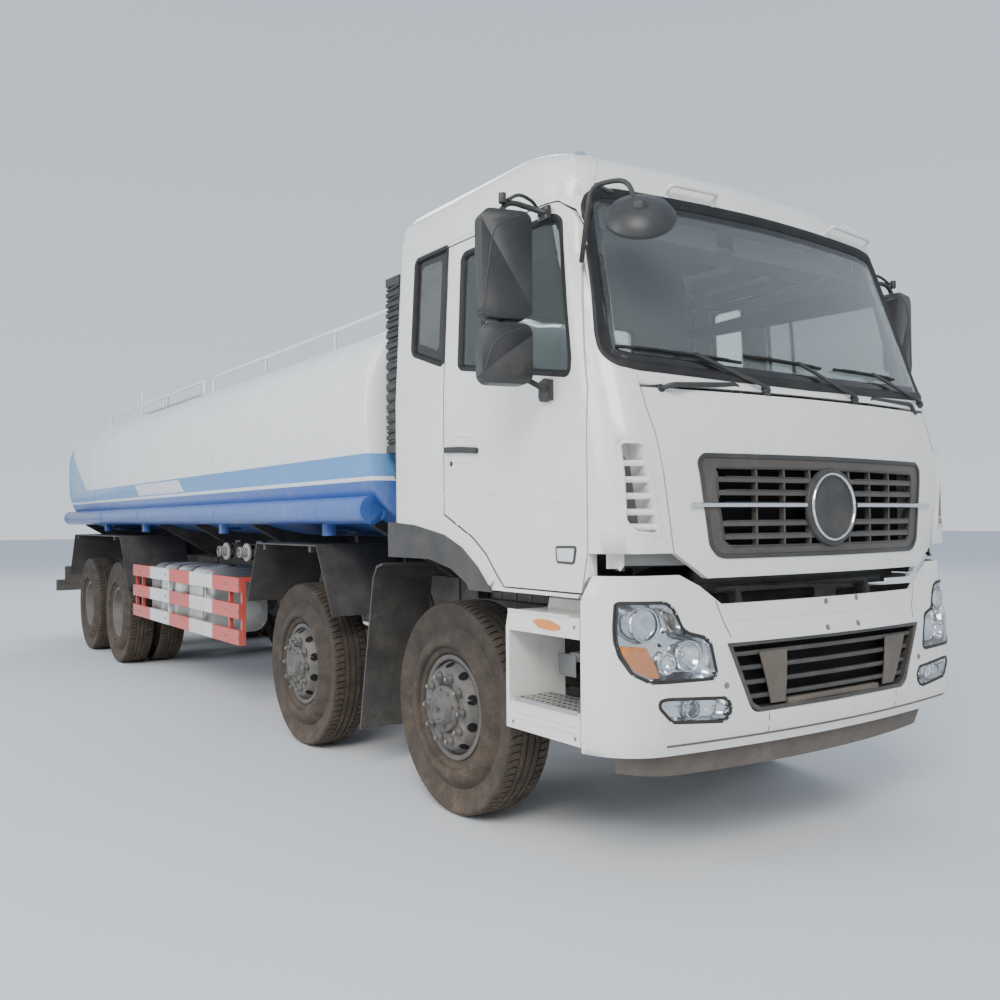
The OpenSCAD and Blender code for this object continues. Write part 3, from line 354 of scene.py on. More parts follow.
def fastener_tree():
    """Sets a headed fastener on every vertex, turned to the way that its facing attribute gives."""
    tree, given = tree_with("fasteners", [
        ("Radius", "NodeSocketFloat", 0.01), ("Height", "NodeSocketFloat", 0.008), ("Sides", "NodeSocketInt", 6),
        ("Collar", "NodeSocketFloat", 1.35), ("Seed", "NodeSocketInt", 4), ("Finish", "NodeSocketMaterial", None)])
    g = Graph(tree)
    head = g.add("GeometryNodeMeshCylinder", {"Vertices": given["Sides"], "Radius": given["Radius"],
                                              "Depth": given["Height"]})
    head = g.add("GeometryNodeTransform", {"Geometry": head, "Translation": g.add(
        "ShaderNodeCombineXYZ", {"Z": g.math("MULTIPLY", given["Height"], 0.5)})})
    collar = g.add("GeometryNodeMeshCylinder", {
        "Vertices": 12, "Radius": g.math("MULTIPLY", given["Radius"], given["Collar"]),
        "Depth": g.math("MULTIPLY", given["Height"], 0.4)})
    both = tree.nodes.new("GeometryNodeJoinGeometry")
    tree.links.new(head, both.inputs[0])
    tree.links.new(collar, both.inputs[0])
    facing = g.add("GeometryNodeInputNamedAttribute", {"Name": "facing"}, data_type="FLOAT_VECTOR")
    upright = g.add("FunctionNodeAlignRotationToVector", {"Vector": facing}, axis="Z")
    spin = g.add("FunctionNodeRandomValue", {2: 0.0, 3: 6.28, "Seed": given["Seed"]}, out=1, data_type="FLOAT")
    spin = g.add("FunctionNodeAxisAngleToRotation", {"Axis": (0, 0, 1), "Angle": spin})
    turn = g.add("FunctionNodeRotateRotation", {"Rotation": upright, "Rotate By": spin}, rotation_space="LOCAL")
    points = g.add("GeometryNodeMeshToPoints", {"Mesh": given["Geometry"]})
    placed = g.add("GeometryNodeInstanceOnPoints", {"Points": points, "Instance": both.outputs[0], "Rotation": turn})
    return close_tree(tree, g, placed, given)


def repeat_tree():
    """Repeats the given mesh in steps along a line, turning each further about an axis."""
    tree, given = tree_with("repeats", [
        ("Count", "NodeSocketInt", 4), ("Start", "NodeSocketVector", None), ("Step", "NodeSocketVector", None),
        ("Axis", "NodeSocketVector", None), ("Turn", "NodeSocketFloat", 0.0), ("Finish", "NodeSocketMaterial", None)])
    g = Graph(tree)
    line = g.add("GeometryNodeMeshLine", {"Count": given["Count"], "Start Location": given["Start"],
                                          "Offset": given["Step"]}, mode="OFFSET")
    points = g.add("GeometryNodeMeshToPoints", {"Mesh": line})
    angle = g.math("MULTIPLY", g.add("GeometryNodeInputIndex"), given["Turn"])
    turn = g.add("FunctionNodeAxisAngleToRotation", {"Axis": given["Axis"], "Angle": angle})
    placed = g.add("GeometryNodeInstanceOnPoints", {"Points": points, "Instance": given["Geometry"], "Rotation": turn})
    return close_tree(tree, g, placed, given)


def close_tree(tree, g, geometry, given):
    """Ends a tree in real geometry with its finish set."""
    real = g.add("GeometryNodeRealizeInstances", {"Geometry": geometry})
    done = g.add("GeometryNodeSetMaterial", {"Geometry": real, "Material": given["Finish"]})
    end = tree.nodes.new("NodeGroupOutput")
    tree.links.new(done, end.inputs[0])
    return tree


def run_tree(name, mesh, tree, values, finish, body, sharp=32):
    """Applies a tree with these values to a mesh and settles what comes out as a plain piece."""
    maker = bpy.data.objects.new(name + "_maker", mesh)
    bpy.context.scene.collection.objects.link(maker)
    modifier = maker.modifiers.new("repeat", "NODES")
    modifier.node_group = tree
    inputs = {i.name: i.identifier for i in tree.interface.items_tree if i.in_out == "INPUT"}
    for label, value in dict(values, Finish=finishes[finish]).items():
        modifier[inputs[label]] = value
    made = maker.evaluated_get(bpy.context.evaluated_depsgraph_get())
    plain = bpy.data.meshes.new_from_object(made)
    maker.modifiers.remove(modifier)
    bpy.data.objects.remove(maker)
    if not plain.polygons:
        raise RuntimeError(f"{name}: the repeat gave no faces")
    plain.name = name
    return settle(name, plain, finish, body, sharp)


def fasteners(name, spots, radius, height, finish, body, sides=6, collar=1.35, seed=4):
    """Bolts, nuts or rivets at (place, way) spots. Radius and height in millimetres."""
    mesh = bpy.data.meshes.new(name)
    mesh.from_pydata([p for p, _ in spots], [], [])
    facing = mesh.attributes.new("facing", "FLOAT_VECTOR", "POINT")
    facing.data.foreach_set("vector", [c for _, way in spots for c in way])
    tree = bpy.data.node_groups.get("fasteners") or fastener_tree()
    return run_tree(name, mesh, tree, {"Radius": radius / 1000, "Height": height / 1000, "Sides": sides,
                                       "Collar": collar, "Seed": seed}, finish, body)


def repeated(name, shape, count, finish, body, start=(0, 0, 0), step=(0, 0, 0), axis=(0, 1, 0), turn=0.0,
             sharp=32):
    """A shape made about the frame's origin, repeated from start by step in metres and turn in radians."""
    bmesh.ops.recalc_face_normals(shape.bm, faces=shape.bm.faces)
    mesh = bpy.data.meshes.new(name)
    shape.bm.to_mesh(mesh)
    shape.bm.free()
    tree = bpy.data.node_groups.get("repeats") or repeat_tree()
    return run_tree(name, mesh, tree, {"Count": count, "Start": start, "Step": step, "Axis": axis, "Turn": turn},
                    finish, body, sharp)


def smooth_copy(node, finish, sharp=30, others=(), level=None):
    """Stands a smoothly shaded copy of a curved construction node in for it.
    Others are (finish, test) pairs; a face whose middle and normal pass a test takes that finish.
    A level, in metres, splits the faces that cross that height."""
    mesh = frame["nodes"][node].data.copy()
    bm = bmesh.new()
    bm.from_mesh(mesh)
    bmesh.ops.remove_doubles(bm, verts=bm.verts, dist=0.00002)
    if level:
        bmesh.ops.bisect_plane(bm, geom=bm.verts[:] + bm.edges[:] + bm.faces[:], dist=0.00001,
                               plane_co=(0, 0, level), plane_no=(0, 0, 1))
    bm.normal_update()
    tests = [test for _, test in others]
    slots = []
    for face in bm.faces:
        middle = face.calc_center_median()
        slots.append(next((k + 1 for k, test in enumerate(tests) if test(middle, face.normal)), 0))
    bm.to_mesh(mesh)
    bm.free()
    mesh.name = node + "_surface"
    piece = settle(mesh.name, mesh, finish, NODE_BODY[node], sharp)
    for other, _ in others:
        mesh.materials.append(finishes[other])
    mesh.polygons.foreach_set("material_index", slots)
    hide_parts(node)
    return piece


# ---------- shader nodes ----------

class Graph:
    """Adds nodes to one tree; an input takes another node's output or a plain value."""

    def __init__(self, tree):
        self.tree = tree

    def add(self, kind, inputs=None, out=0, **settings):
        node = self.tree.nodes.new(kind)
        for key, value in settings.items():
            setattr(node, key, value)
        for key, value in (inputs or {}).items():
            self.put(node.inputs[key], value)
        return node.outputs[out]

    def put(self, socket, value):
        if isinstance(value, bpy.types.NodeSocket):
            self.tree.links.new(value, socket)
        else:
            socket.default_value = value

    def math(self, operation, a, b=0.0, c=0.0, clamp=False):
        return self.add("ShaderNodeMath", {0: a, 1: b, 2: c}, operation=operation, use_clamp=clamp)

    def blend(self, share, a, b, way="MIX"):
        a, b = (tuple(c) + (1,) if isinstance(c, (tuple, list)) and len(c) == 3 else c for c in (a, b))
        return self.add("ShaderNodeMix", {0: share, 6: a, 7: b}, out=2, data_type="RGBA", blend_type=way)

    def span(self, value, low, high, to_low=0.0, to_high=1.0):
        return self.add("ShaderNodeMapRange", {0: value, 1: low, 2: high, 3: to_low, 4: to_high})

    def place(self):
        return self.add("ShaderNodeTexCoord", out=3)

    def scaled(self, place, factors):
        return self.add("ShaderNodeVectorMath", {0: place, 1: factors}, operation="MULTIPLY")

    def noise(self, place, scale, detail=3.0, rough=0.55):
        return self.add("ShaderNodeTexNoise", {"Vector": place, "Scale": scale, "Detail": detail, "Roughness": rough})

    def axes(self, place):
        node = self.tree.nodes.new("ShaderNodeSeparateXYZ")
        self.tree.links.new(place, node.inputs[0])
        return node.outputs

    def group(self, tree, inputs, out=0):
        node = self.tree.nodes.new("ShaderNodeGroup")
        node.node_tree = tree
        for key, value in inputs.items():
            self.put(node.inputs[key], value)
        return node.outputs[out]


def effect(name, inputs, outputs):
    """An empty shader group with named inputs and outputs, its graph, given sockets and end node."""
    tree = bpy.data.node_groups.new(name, "ShaderNodeTree")
    for label, value in inputs.items():
        tree.interface.new_socket(label, in_out="INPUT", socket_type="NodeSocketFloat").default_value = value
    for label in outputs:
        tree.interface.new_socket(label, in_out="OUTPUT", socket_type="NodeSocketFloat")
    return tree, Graph(tree), tree.nodes.new("NodeGroupInput").outputs, tree.nodes.new("NodeGroupOutput").inputs


def make_effects():
    """The shared dust, streak, scuff, grain and weave groups."""
    _, g, given, end = effect("road_dust", {"Amount": 0.4, "Reach": 1.4, "Patch": 6.0}, ["Mask"])
    place = g.place()
    height = g.axes(place)[2]
    low = g.math("SUBTRACT", 1.0, g.math("DIVIDE", height, given["Reach"]), clamp=True)
    patch = g.span(g.noise(place, given["Patch"], 5.0, 0.62), 0.35, 0.68)
    fine = g.span(g.noise(place, 70.0, 2.0), 0.35, 0.7, 0.6, 1.0)
    mask = g.math("MULTIPLY", g.math("MULTIPLY_ADD", low, 0.75, g.math("MULTIPLY", patch, 0.25)), given["Amount"])
    g.put(end["Mask"], g.math("MULTIPLY", g.math("MULTIPLY", mask, g.span(patch, 0, 1, 0.55, 1.0)), fine, clamp=True))

    _, g, given, end = effect("rain_streaks", {"Amount": 0.3, "Scale": 14.0}, ["Mask"])
    place = g.scaled(g.place(), (1.0, 1.0, 0.06))
    runs = g.span(g.noise(place, given["Scale"], 3.0, 0.5), 0.56, 0.8)
    g.put(end["Mask"], g.math("MULTIPLY", runs, given["Amount"], clamp=True))

    _, g, given, end = effect("scuffs", {"Amount": 0.3, "Scale": 30.0}, ["Mask", "Height"])
    place = g.place()
    marks = g.span(g.noise(g.scaled(place, (0.35, 1.0, 2.4)), given["Scale"], 6.0, 0.72), 0.6, 0.72)
    where = g.span(g.noise(place, 2.3, 2.0), 0.45, 0.62)
    mask = g.math("MULTIPLY", g.math("MULTIPLY", marks, where), given["Amount"], clamp=True)
    g.put(end["Mask"], mask)
    g.put(end["Height"], g.math("SUBTRACT", 1.0, mask))

    _, g, given, end = effect("fine_grain", {"Scale": 400.0, "Detail": 2.0}, ["Height", "Tone"])
    place = g.place()
    g.put(end["Height"], g.noise(place, given["Scale"], given["Detail"]))
    g.put(end["Tone"], g.span(g.noise(place, 3.1, 4.0), 0.3, 0.7))

    _, g, given, end = effect("woven", {"Scale": 900.0}, ["Height", "Tone"])
    x, y, z = g.axes(g.place())
    across = g.math("SINE", g.math("MULTIPLY", g.math("ADD", x, z), given["Scale"]))
    along = g.math("SINE", g.math("MULTIPLY", g.math("ADD", y, g.math("MULTIPLY", z, 0.35)), given["Scale"]))
    weave = g.math("MULTIPLY_ADD", g.math("MULTIPLY", across, along), 0.5, 0.5)
    g.put(end["Height"], weave)
    g.put(end["Tone"], g.math("MULTIPLY_ADD", weave, 0.5, g.math("MULTIPLY", g.noise(g.place(), 12.0), 0.5)))


def new_finish(name):
    """A fresh material with its graph and Principled shader."""
    material = bpy.data.materials.new(name)
    material.use_nodes = True
    finishes[name] = material
    shader = material.node_tree.nodes["Principled BSDF"]
    return Graph(material.node_tree), shader.inputs


def coated(name, colour, rough=0.35, metal=0.0, coat=0.0, dust=0.3, reach=1.4, patch=6.0, streaks=0.0, scuff=0.0,
           scuff_colour=(0.45, 0.43, 0.4), grain=300.0, bump=0.05, tone=0.08, dust_colour=(0.36, 0.31, 0.25),
           paint=None, specular=None):
    """A finish of one colour, or of the colours that paint puts down, under grain, dust, streaks and scuffs."""
    g, shader = new_finish(name)
    base = paint(g) if paint else tuple(colour) + (1,)
    group = bpy.data.node_groups
    variation = g.group(group["fine_grain"], {"Scale": grain, "Detail": 2.0}, 1)
    grain_height = g.group(group["fine_grain"], {"Scale": grain, "Detail": 2.0}, 0)
    darker = g.blend(1.0, base, (1 - tone, 1 - tone, 1 - tone * 1.15), "MULTIPLY")
    base = g.blend(variation, darker, base)
    roughness = g.span(variation, 0, 1, max(0.03, rough - 0.05), min(1, rough + 0.07))
    height = grain_height
    if scuff:
        marks = g.group(group["scuffs"], {"Amount": scuff, "Scale": 30.0}, 0)
        base = g.blend(marks, base, scuff_colour)
        roughness = g.math("MULTIPLY_ADD", marks, 0.25, roughness, clamp=True)
        height = g.math("MULTIPLY_ADD", g.group(group["scuffs"], {"Amount": scuff, "Scale": 30.0}, 1), 0.6, height)
    if streaks:
        runs = g.group(group["rain_streaks"], {"Amount": streaks, "Scale": 14.0})
        base = g.blend(runs, base, (0.38, 0.35, 0.3))
        roughness = g.math("MULTIPLY_ADD", runs, 0.3, roughness, clamp=True)
    if dust:
        mask = g.group(group["road_dust"], {"Amount": dust, "Reach": reach, "Patch": patch})
        base = g.blend(mask, base, dust_colour)
        roughness = g.math("MULTIPLY_ADD", mask, 0.5, roughness, clamp=True)
        if metal:
            g.put(shader["Metallic"], g.math("MULTIPLY", g.math("SUBTRACT", 1.0, mask), metal))
    if metal and not dust:
        shader["Metallic"].default_value = metal
    g.put(shader["Base Color"], base)
    g.put(shader["Roughness"], roughness)
    shader["Coat Weight"].default_value = coat
    shader["Coat Roughness"].default_value = 0.08
    if specular is not None:
        shader["Specular IOR Level"].default_value = specular
    g.put(shader["Normal"], g.add("ShaderNodeBump", {"Strength": bump, "Distance": 0.001, "Height": height}))


def glazed(name, tint, rough=0.02, clear=0.9, ior=1.45, dust=0.05, metal=0.0):
    """A clear or tinted pane or lens with a faint film of dust."""
    g, shader = new_finish(name)
    film = g.group(bpy.data.node_groups["road_dust"], {"Amount": dust, "Reach": 3.6, "Patch": 4.0})
    g.put(shader["Base Color"], g.blend(film, tuple(tint) + (1,), (0.42, 0.4, 0.36)))
    g.put(shader["Roughness"], g.math("ADD", film, rough, clamp=True))
    shader["Transmission Weight"].default_value = clear
    shader["Metallic"].default_value = metal
    shader["IOR"].default_value = ior
    wave = g.noise(g.place(), 2.0, 1.0)
    g.put(shader["Normal"], g.add("ShaderNodeBump", {"Strength": 0.02, "Distance": 0.002, "Height": wave}))


# ---------- settings ----------

class TankerPaint(bpy.types.PropertyGroup):
    """Colours and wear of the truck's finishes."""
    cab: bpy.props.FloatVectorProperty(name="Cab paint", description="Off-white of the cab and bumper",
                                       default=(0.80, 0.785, 0.74), subtype="COLOR", size=3, min=0, max=1)
    tank: bpy.props.FloatVectorProperty(name="Tank paint", description="White of the tank's upper part",
                                        default=(0.80, 0.81, 0.80), subtype="COLOR", size=3, min=0, max=1)
    band: bpy.props.FloatVectorProperty(name="Tank band", description="Light blue of the band along the tank",
                                        default=(0.10, 0.29, 0.60), subtype="COLOR", size=3, min=0, max=1)
    skirt: bpy.props.FloatVectorProperty(name="Tank underside", description="Strong blue under the band",
                                         default=(0.035, 0.12, 0.42), subtype="COLOR", size=3, min=0, max=1)
    guard_red: bpy.props.FloatVectorProperty(name="Guard red", description="Red fields of the side guards",
                                             default=(0.62, 0.06, 0.045), subtype="COLOR", size=3, min=0, max=1)
    dust: bpy.props.FloatProperty(name="Road dust", description="How much dust lies on the lower parts",
                                  default=0.45, min=0, max=1, subtype="FACTOR")
    rubber: bpy.props.FloatVectorProperty(name="Tyre rubber", description="Colour of the tyres under their dust",
                                          default=(0.028, 0.026, 0.025), subtype="COLOR", size=3, min=0, max=1)


class TankerSizes(bpy.types.PropertyGroup):
    """Sizes of trim that a user may want to change."""
    band_top: bpy.props.FloatProperty(name="Band top", description="Height of the blue band's upper edge",
                                      default=1.935, unit="LENGTH")
    band_foot: bpy.props.FloatProperty(name="Band foot", description="Height of the blue band's lower edge",
                                       default=1.800, unit="LENGTH")
    line_foot: bpy.props.FloatProperty(name="Line foot", description="Lower edge of the white line under the band",
                                       default=1.775, unit="LENGTH")
    tread_blocks: bpy.props.IntProperty(name="Tread blocks", description="Blocks round one shoulder of a tyre",
                                        default=84, min=24, max=120)
    nut_radius: bpy.props.FloatProperty(name="Wheel nut radius", description="Radius of a wheel nut's hexagon",
                                        default=0.0165, unit="LENGTH")
    seal_height: bpy.props.FloatProperty(name="Seal height", description="How far window seals stand proud",
                                         default=0.006, unit="LENGTH")


def tank_colours(g):
    """The tank's white, its blue band with a blank white panel, the white line and the blue underside."""
    paint, sizes = bpy.context.scene.tanker_paint, bpy.context.scene.tanker_sizes
    white, band, skirt = (tuple(c) + (1,) for c in (paint.tank, paint.band, paint.skirt))
    x, y, z = g.axes(g.place())
    x = g.math("SUBTRACT", x, FRONT_AXLE)
    over = lambda value, edge: g.math("GREATER_THAN", value, edge)
    lean = g.math("MULTIPLY_ADD", z, 0.9, x)
    panel = g.math("MULTIPLY", g.math("MULTIPLY", over(z, 1.812), g.math("SUBTRACT", 1.0, over(z, 1.921))),
                   g.math("MULTIPLY", over(lean, -6.05 + 1.68), g.math("SUBTRACT", 1.0, over(lean, -4.51 + 1.68))))
    in_band = g.blend(panel, band, (0.74, 0.76, 0.78))
    sweep_up = g.math("SUBTRACT", 1.0, over(g.math("MULTIPLY_ADD", z, 1.75, x), -8.77 + 2.15 * 1.75))
    upper = g.blend(g.math("MULTIPLY", sweep_up, g.math("SUBTRACT", 1.0, over(z, 2.6))), white, band)
    upper = g.blend(over(g.math("ABSOLUTE", y), 0.98), white, upper)
    colour = g.blend(over(z, sizes.band_top), in_band, upper)
    colour = g.blend(over(z, sizes.band_foot), white, colour)
    return g.blend(over(z, sizes.line_foot), skirt, colour)


def guard_colours(g):
    """Red and white fields along the side guards."""
    paint = bpy.context.scene.tanker_paint
    x = g.math("SUBTRACT", g.axes(g.place())[0], FRONT_AXLE)
    colour = tuple(paint.guard_red) + (1,)
    for start, end in ((-5.547, -4.889), (-4.271, -3.642)):
        field = g.math("MULTIPLY", g.math("GREATER_THAN", x, start), g.math("LESS_THAN", x, end))
        colour = g.blend(field, colour, (0.72, 0.71, 0.68))
    return colour


class TANKER_OT_finishes(bpy.types.Operator):
    """Mixes every paint, metal, rubber, plastic, cloth and glass of the truck"""
    bl_idname = "tanker.finishes"
    bl_label = "Mix finishes"

    def execute(self, context):
        paint = context.scene.tanker_paint
        dust = paint.dust
        make_effects()
        coated("cab_white", paint.cab, 0.28, coat=0.55, dust=dust * 0.55, reach=2.2, streaks=0.12, scuff=0.12,
               grain=900, bump=0.03, tone=0.05, dust_colour=(0.42, 0.37, 0.29))
        coated("tank_white", paint.tank, 0.3, coat=0.45, dust=dust * 0.5, reach=2.6, streaks=0.3, scuff=0.1,
               grain=120, bump=0.08, tone=0.06, paint=tank_colours)
        coated("plain_white", paint.tank, 0.36, coat=0.2, dust=dust * 0.5, reach=2.0, streaks=0.2, scuff=0.3,
               grain=300, tone=0.1)
        coated("hose_blue", paint.skirt, 0.34, coat=0.35, dust=dust * 0.45, reach=2.6, streaks=0.25, scuff=0.25,
               scuff_colour=(0.3, 0.33, 0.4), grain=200, tone=0.12)
        coated("guard_bands", paint.guard_red, 0.38, coat=0.25, dust=dust * 0.8, reach=1.6, streaks=0.25,
               scuff=0.35, grain=240, tone=0.12, paint=guard_colours)
        coated("frame_black", (0.022, 0.022, 0.024), 0.5, dust=dust * 1.25, reach=1.8, scuff=0.3,
               scuff_colour=(0.2, 0.12, 0.08), grain=160, bump=0.12, tone=0.3)
        coated("wheel_grey", (0.062, 0.062, 0.064), 0.5, metal=0.15, dust=dust * 1.2, reach=1.9, scuff=0.4,
               scuff_colour=(0.2, 0.18, 0.16), grain=180, bump=0.15, tone=0.2)
        coated("nut_steel", (0.10, 0.095, 0.09), 0.42, metal=0.6, dust=dust * 0.8, reach=1.8, scuff=0.5,
               scuff_colour=(0.35, 0.24, 0.16), grain=300, tone=0.3)
        coated("worn_steel", (0.36, 0.35, 0.34), 0.38, metal=0.85, dust=dust * 0.9, reach=1.6, scuff=0.35,
               scuff_colour=(0.28, 0.18, 0.12), grain=420, tone=0.2)
        coated("cast_iron", (0.13, 0.13, 0.13), 0.6, metal=0.3, dust=dust, reach=1.8, scuff=0.3,
               scuff_colour=(0.24, 0.14, 0.09), grain=150, bump=0.3, tone=0.25)
        coated("tank_metal", (0.58, 0.58, 0.57), 0.33, metal=0.9, dust=dust * 0.9, reach=1.7, streaks=0.2,
               scuff=0.2, grain=520, bump=0.06, tone=0.14)
        coated("bright_metal", (0.78, 0.79, 0.80), 0.09, metal=1.0, dust=dust * 0.3, reach=2.6, grain=700,
               bump=0.015, tone=0.05)
        coated("tread_plate", (0.55, 0.55, 0.54), 0.32, metal=0.85, dust=dust * 0.7, reach=1.6, scuff=0.4,
               grain=400, tone=0.15)
        coated("rubber", paint.rubber, 0.72, dust=dust * 1.35, reach=1.5, patch=9, scuff=0.3,
               scuff_colour=(0.12, 0.09, 0.07), grain=220, bump=0.25, tone=0.25, dust_colour=(0.23, 0.17, 0.12),
               specular=0.25)
        coated("seal_rubber", (0.014, 0.014, 0.015), 0.55, dust=dust * 0.35, reach=2.6, grain=500, bump=0.1,
               tone=0.2, specular=0.35)
        coated("trim_black", (0.026, 0.027, 0.029), 0.46, dust=dust * 0.8, reach=2.2, scuff=0.2,
               scuff_colour=(0.12, 0.12, 0.12), grain=700, bump=0.22, tone=0.15)
        coated("slat_brown", (0.066, 0.058, 0.052), 0.42, dust=dust * 0.8, reach=2.2, grain=500, bump=0.1, tone=0.2)
        coated("pad_brown", (0.10, 0.08, 0.065), 0.6, dust=dust, reach=1.6, grain=380, bump=0.25, tone=0.2)
        coated("shadow_gap", (0.008, 0.008, 0.009), 0.8, dust=0.05, reach=2.2, grain=300, tone=0.1, specular=0.1)
        coated("fritted_edge", (0.012, 0.012, 0.013), 0.12, dust=0.12, reach=3.2, grain=900, bump=0.01, tone=0.1)
        coated("cabin_plastic", (0.085, 0.085, 0.088), 0.6, dust=0.05, reach=3.0, grain=900, bump=0.3, tone=0.15)
        coated("cabin_grey", (0.24, 0.235, 0.225), 0.62, dust=0.05, reach=3.0, grain=900, bump=0.25, tone=0.12)
        coated("blank_plate", (0.22, 0.225, 0.23), 0.4, dust=dust * 0.7, reach=1.6, scuff=0.3, grain=300, tone=0.1)
        coated("flange_pale", (0.55, 0.54, 0.5), 0.45, metal=0.3, dust=dust * 0.5, reach=1.9, scuff=0.3, grain=260,
               tone=0.15)
        coated("amber_lens", (0.75, 0.23, 0.02), 0.12, coat=0.8, dust=0.1, reach=2.2, grain=600, bump=0.05)
        coated("red_lens", (0.5, 0.02, 0.015), 0.12, coat=0.8, dust=0.15, reach=1.6, grain=600, bump=0.05)
        coated("white_lens", (0.7, 0.71, 0.72), 0.12, coat=0.8, dust=0.1, reach=1.8, grain=600, bump=0.05)
        coated("mirror_face", (0.86, 0.88, 0.9), 0.02, metal=1.0, dust=0.05, reach=3.4, grain=200, bump=0.003,
               tone=0.02)
        glazed("screen_glass", (0.86, 0.91, 0.89), clear=0.95)
        glazed("door_glass", (0.34, 0.39, 0.38), clear=0.92, dust=0.06)
        glazed("lens_glass", (0.95, 0.97, 0.98), rough=0.01, clear=1.0, dust=0.04)
        self.mix_cloth("seat_cloth", (0.055, 0.058, 0.066), 2600)
        self.mix_cloth("seat_face", (0.12, 0.122, 0.13), 1500)
        g, shader = new_finish("floor_pale")
        tone = g.noise(g.place(), 0.35, 2.0)
        g.put(shader["Base Color"], g.blend(tone, (0.70, 0.71, 0.72), (0.735, 0.74, 0.745)))
        shader["Roughness"].default_value = 0.85
        shader["Specular IOR Level"].default_value = 0.2
        return {"FINISHED"}

    def mix_cloth(self, name, colour, scale):
        g, shader = new_finish(name)
        weave = bpy.data.node_groups["woven"]
        height = g.group(weave, {"Scale": scale}, 0)
        tone = g.group(weave, {"Scale": scale}, 1)
        light = tuple(min(1, c * 1.7) for c in colour)
        g.put(shader["Base Color"], g.blend(tone, tuple(colour) + (1,), light))
        g.put(shader["Roughness"], g.span(tone, 0, 1, 0.78, 0.95))
        shader["Sheen Weight"].default_value = 0.25
        g.put(shader["Normal"], g.add("ShaderNodeBump", {"Strength": 0.5, "Distance": 0.0008, "Height": height}))


SLOT_FINISH = {
    "cab_paint": "cab_white", "tank_paint": "plain_white", "blue_paint": "hose_blue", "black_paint": "frame_black",
    "red_paint": "guard_bands", "grey_paint": "wheel_grey", "machined_steel": "worn_steel",
    "cast_grey": "cast_iron", "tank_aluminium": "tank_metal", "tyre": "rubber", "black_plastic": "trim_black",
    "interior_plastic": "cabin_plastic", "seat_cloth": "seat_cloth", "window_glass": "door_glass",
    "lamp_glass": "lens_glass"}
NODE_FINISH = {"water_tank": "tank_white", "cab_glass": "screen_glass", "grille": "slat_brown",
               "leaf_springs": "frame_black"}
SKIRT_TOP = 0.556
CURVED = ("cab_shell", "cab_roof", "door_right", "door_left", "front_panel", "front_bumper", "water_tank",
          "hose_tubes", "wheel_arch_trims", "front_mirror", "mirrors_right", "mirrors_left", "handrails",
          "rear_ladder", "fuel_tank", "air_tanks", "steering_wheel", "wheel_1_right", "wheel_1_left",
          "wheel_2_right", "wheel_2_left", "wheels_3_right", "wheels_3_left", "wheels_4_right", "wheels_4_left",
          "water_pump", "dashboard", "cab_glass", "door_glass_right", "door_glass_left", "drive_axles",
          "driveline", "front_manhole_lid", "rear_manhole_lid")


class TANKER_OT_bodywork(bpy.types.Operator):
    """Gives every construction node its finish, and the curved ones a smoothly shaded copy"""
    bl_idname = "tanker.bodywork"
    bl_label = "Finish bodywork"

    def execute(self, context):
        for name, node in frame["nodes"].items():
            finish = NODE_FINISH.get(name, SLOT_FINISH[NODE_SLOT[name]])
            if name in CURVED:
                smooth_copy(name, finish, others=self.linings(name),
                            level=SKIRT_TOP if name == "front_bumper" else None)
                continue
            node.data.materials.clear()
            node.data.materials.append(finishes[finish])
        return {"FINISHED"}

    def linings(self, name):
        """Which faces of a painted shell are its inside, its dark underside or its rubber skirt. The cab shell's dark
        underside, in the gap between the front panel and the bumper, is painted shade.
        """
        if name in ("cab_shell", "cab_roof"):
            shell = Skin("cab_shell", "cab_roof", "cab_glass", "door_right", "door_left")
            nose = FRONT_AXLE + 0.95
            inside = lambda p, n: shell.tree.ray_cast(p + n * 0.002, n, 2.6)[0] is not None
            # painted shade: the cab shell's faces low in the gap between the front panel and the bumper are painted
            # black so that the gap reads dark
            dark = lambda p, n: p.z < 1.335 and p.x > nose and abs(p.y) < 1.15
            return (("frame_black", dark), ("cabin_grey", inside))
        if name.startswith("door_r") or name.startswith("door_l"):
            side = -1 if name == "door_right" else 1
            return (("cabin_grey", lambda p, n: n.y * side < -0.3 and abs(p.y) < 1.19),)
        if name == "front_bumper":
            return (("pad_brown", lambda p, n: p.z < SKIRT_TOP),
                    ("frame_black", lambda p, n: p.x < FRONT_AXLE + 1.445 and abs(p.y) < 0.6))
        return ()


# ---------- wheels and tyres ----------

def tyre_profile():
    """Half of the tyre's section as (distance from the middle, radius): bead, wall with its rings, shoulder."""
    points = [(97.5, 257), (102, 276), (117, 288)]
    for k in range(13):
        i = k / 2
        a = math.radians((-90 + 110 * (i / 6 - 0.42)) * 0.8 + 30)
        points.append((150 * math.cos(math.radians((i - 2.4) * 14)), 405 + 95 * math.sin(a)))
    ringed = [points[0]]
    for (y0, r0), (y1, r1) in zip(points, points[1:]):
        for ring in (338, 352, 432):
            if r0 < ring - 4 and ring + 4 <= r1 and y1 <= 149.5:
                width = lambda r: y0 + (y1 - y0) * (r - r0) / (r1 - r0)
                ringed += [(width(ring - 4), ring - 4), (width(ring - 2.5) + 1.6, ring - 2.5),
                           (width(ring + 2.5) + 1.6, ring + 2.5), (width(ring + 4), ring + 4)]
        ringed.append((y1, r1))
    return [p for p in ringed if p[0] <= 150] + [(127.5, 533), (120, 543), (112, 545)]


def tyre_shape(centre):
    """One tyre about the y axis, with grooves between its ribs."""
    half = tyre_profile()
    crown = [(106, 546), (100, 543), (56, 544), (53, 553.5), (27, 554.6), (25, 543), (17, 543), (15, 555), (0, 555)]
    side = half + crown
    return [(-y, r) for y, r in side] + [(y, r) for y, r in reversed(side[:-1])], centre


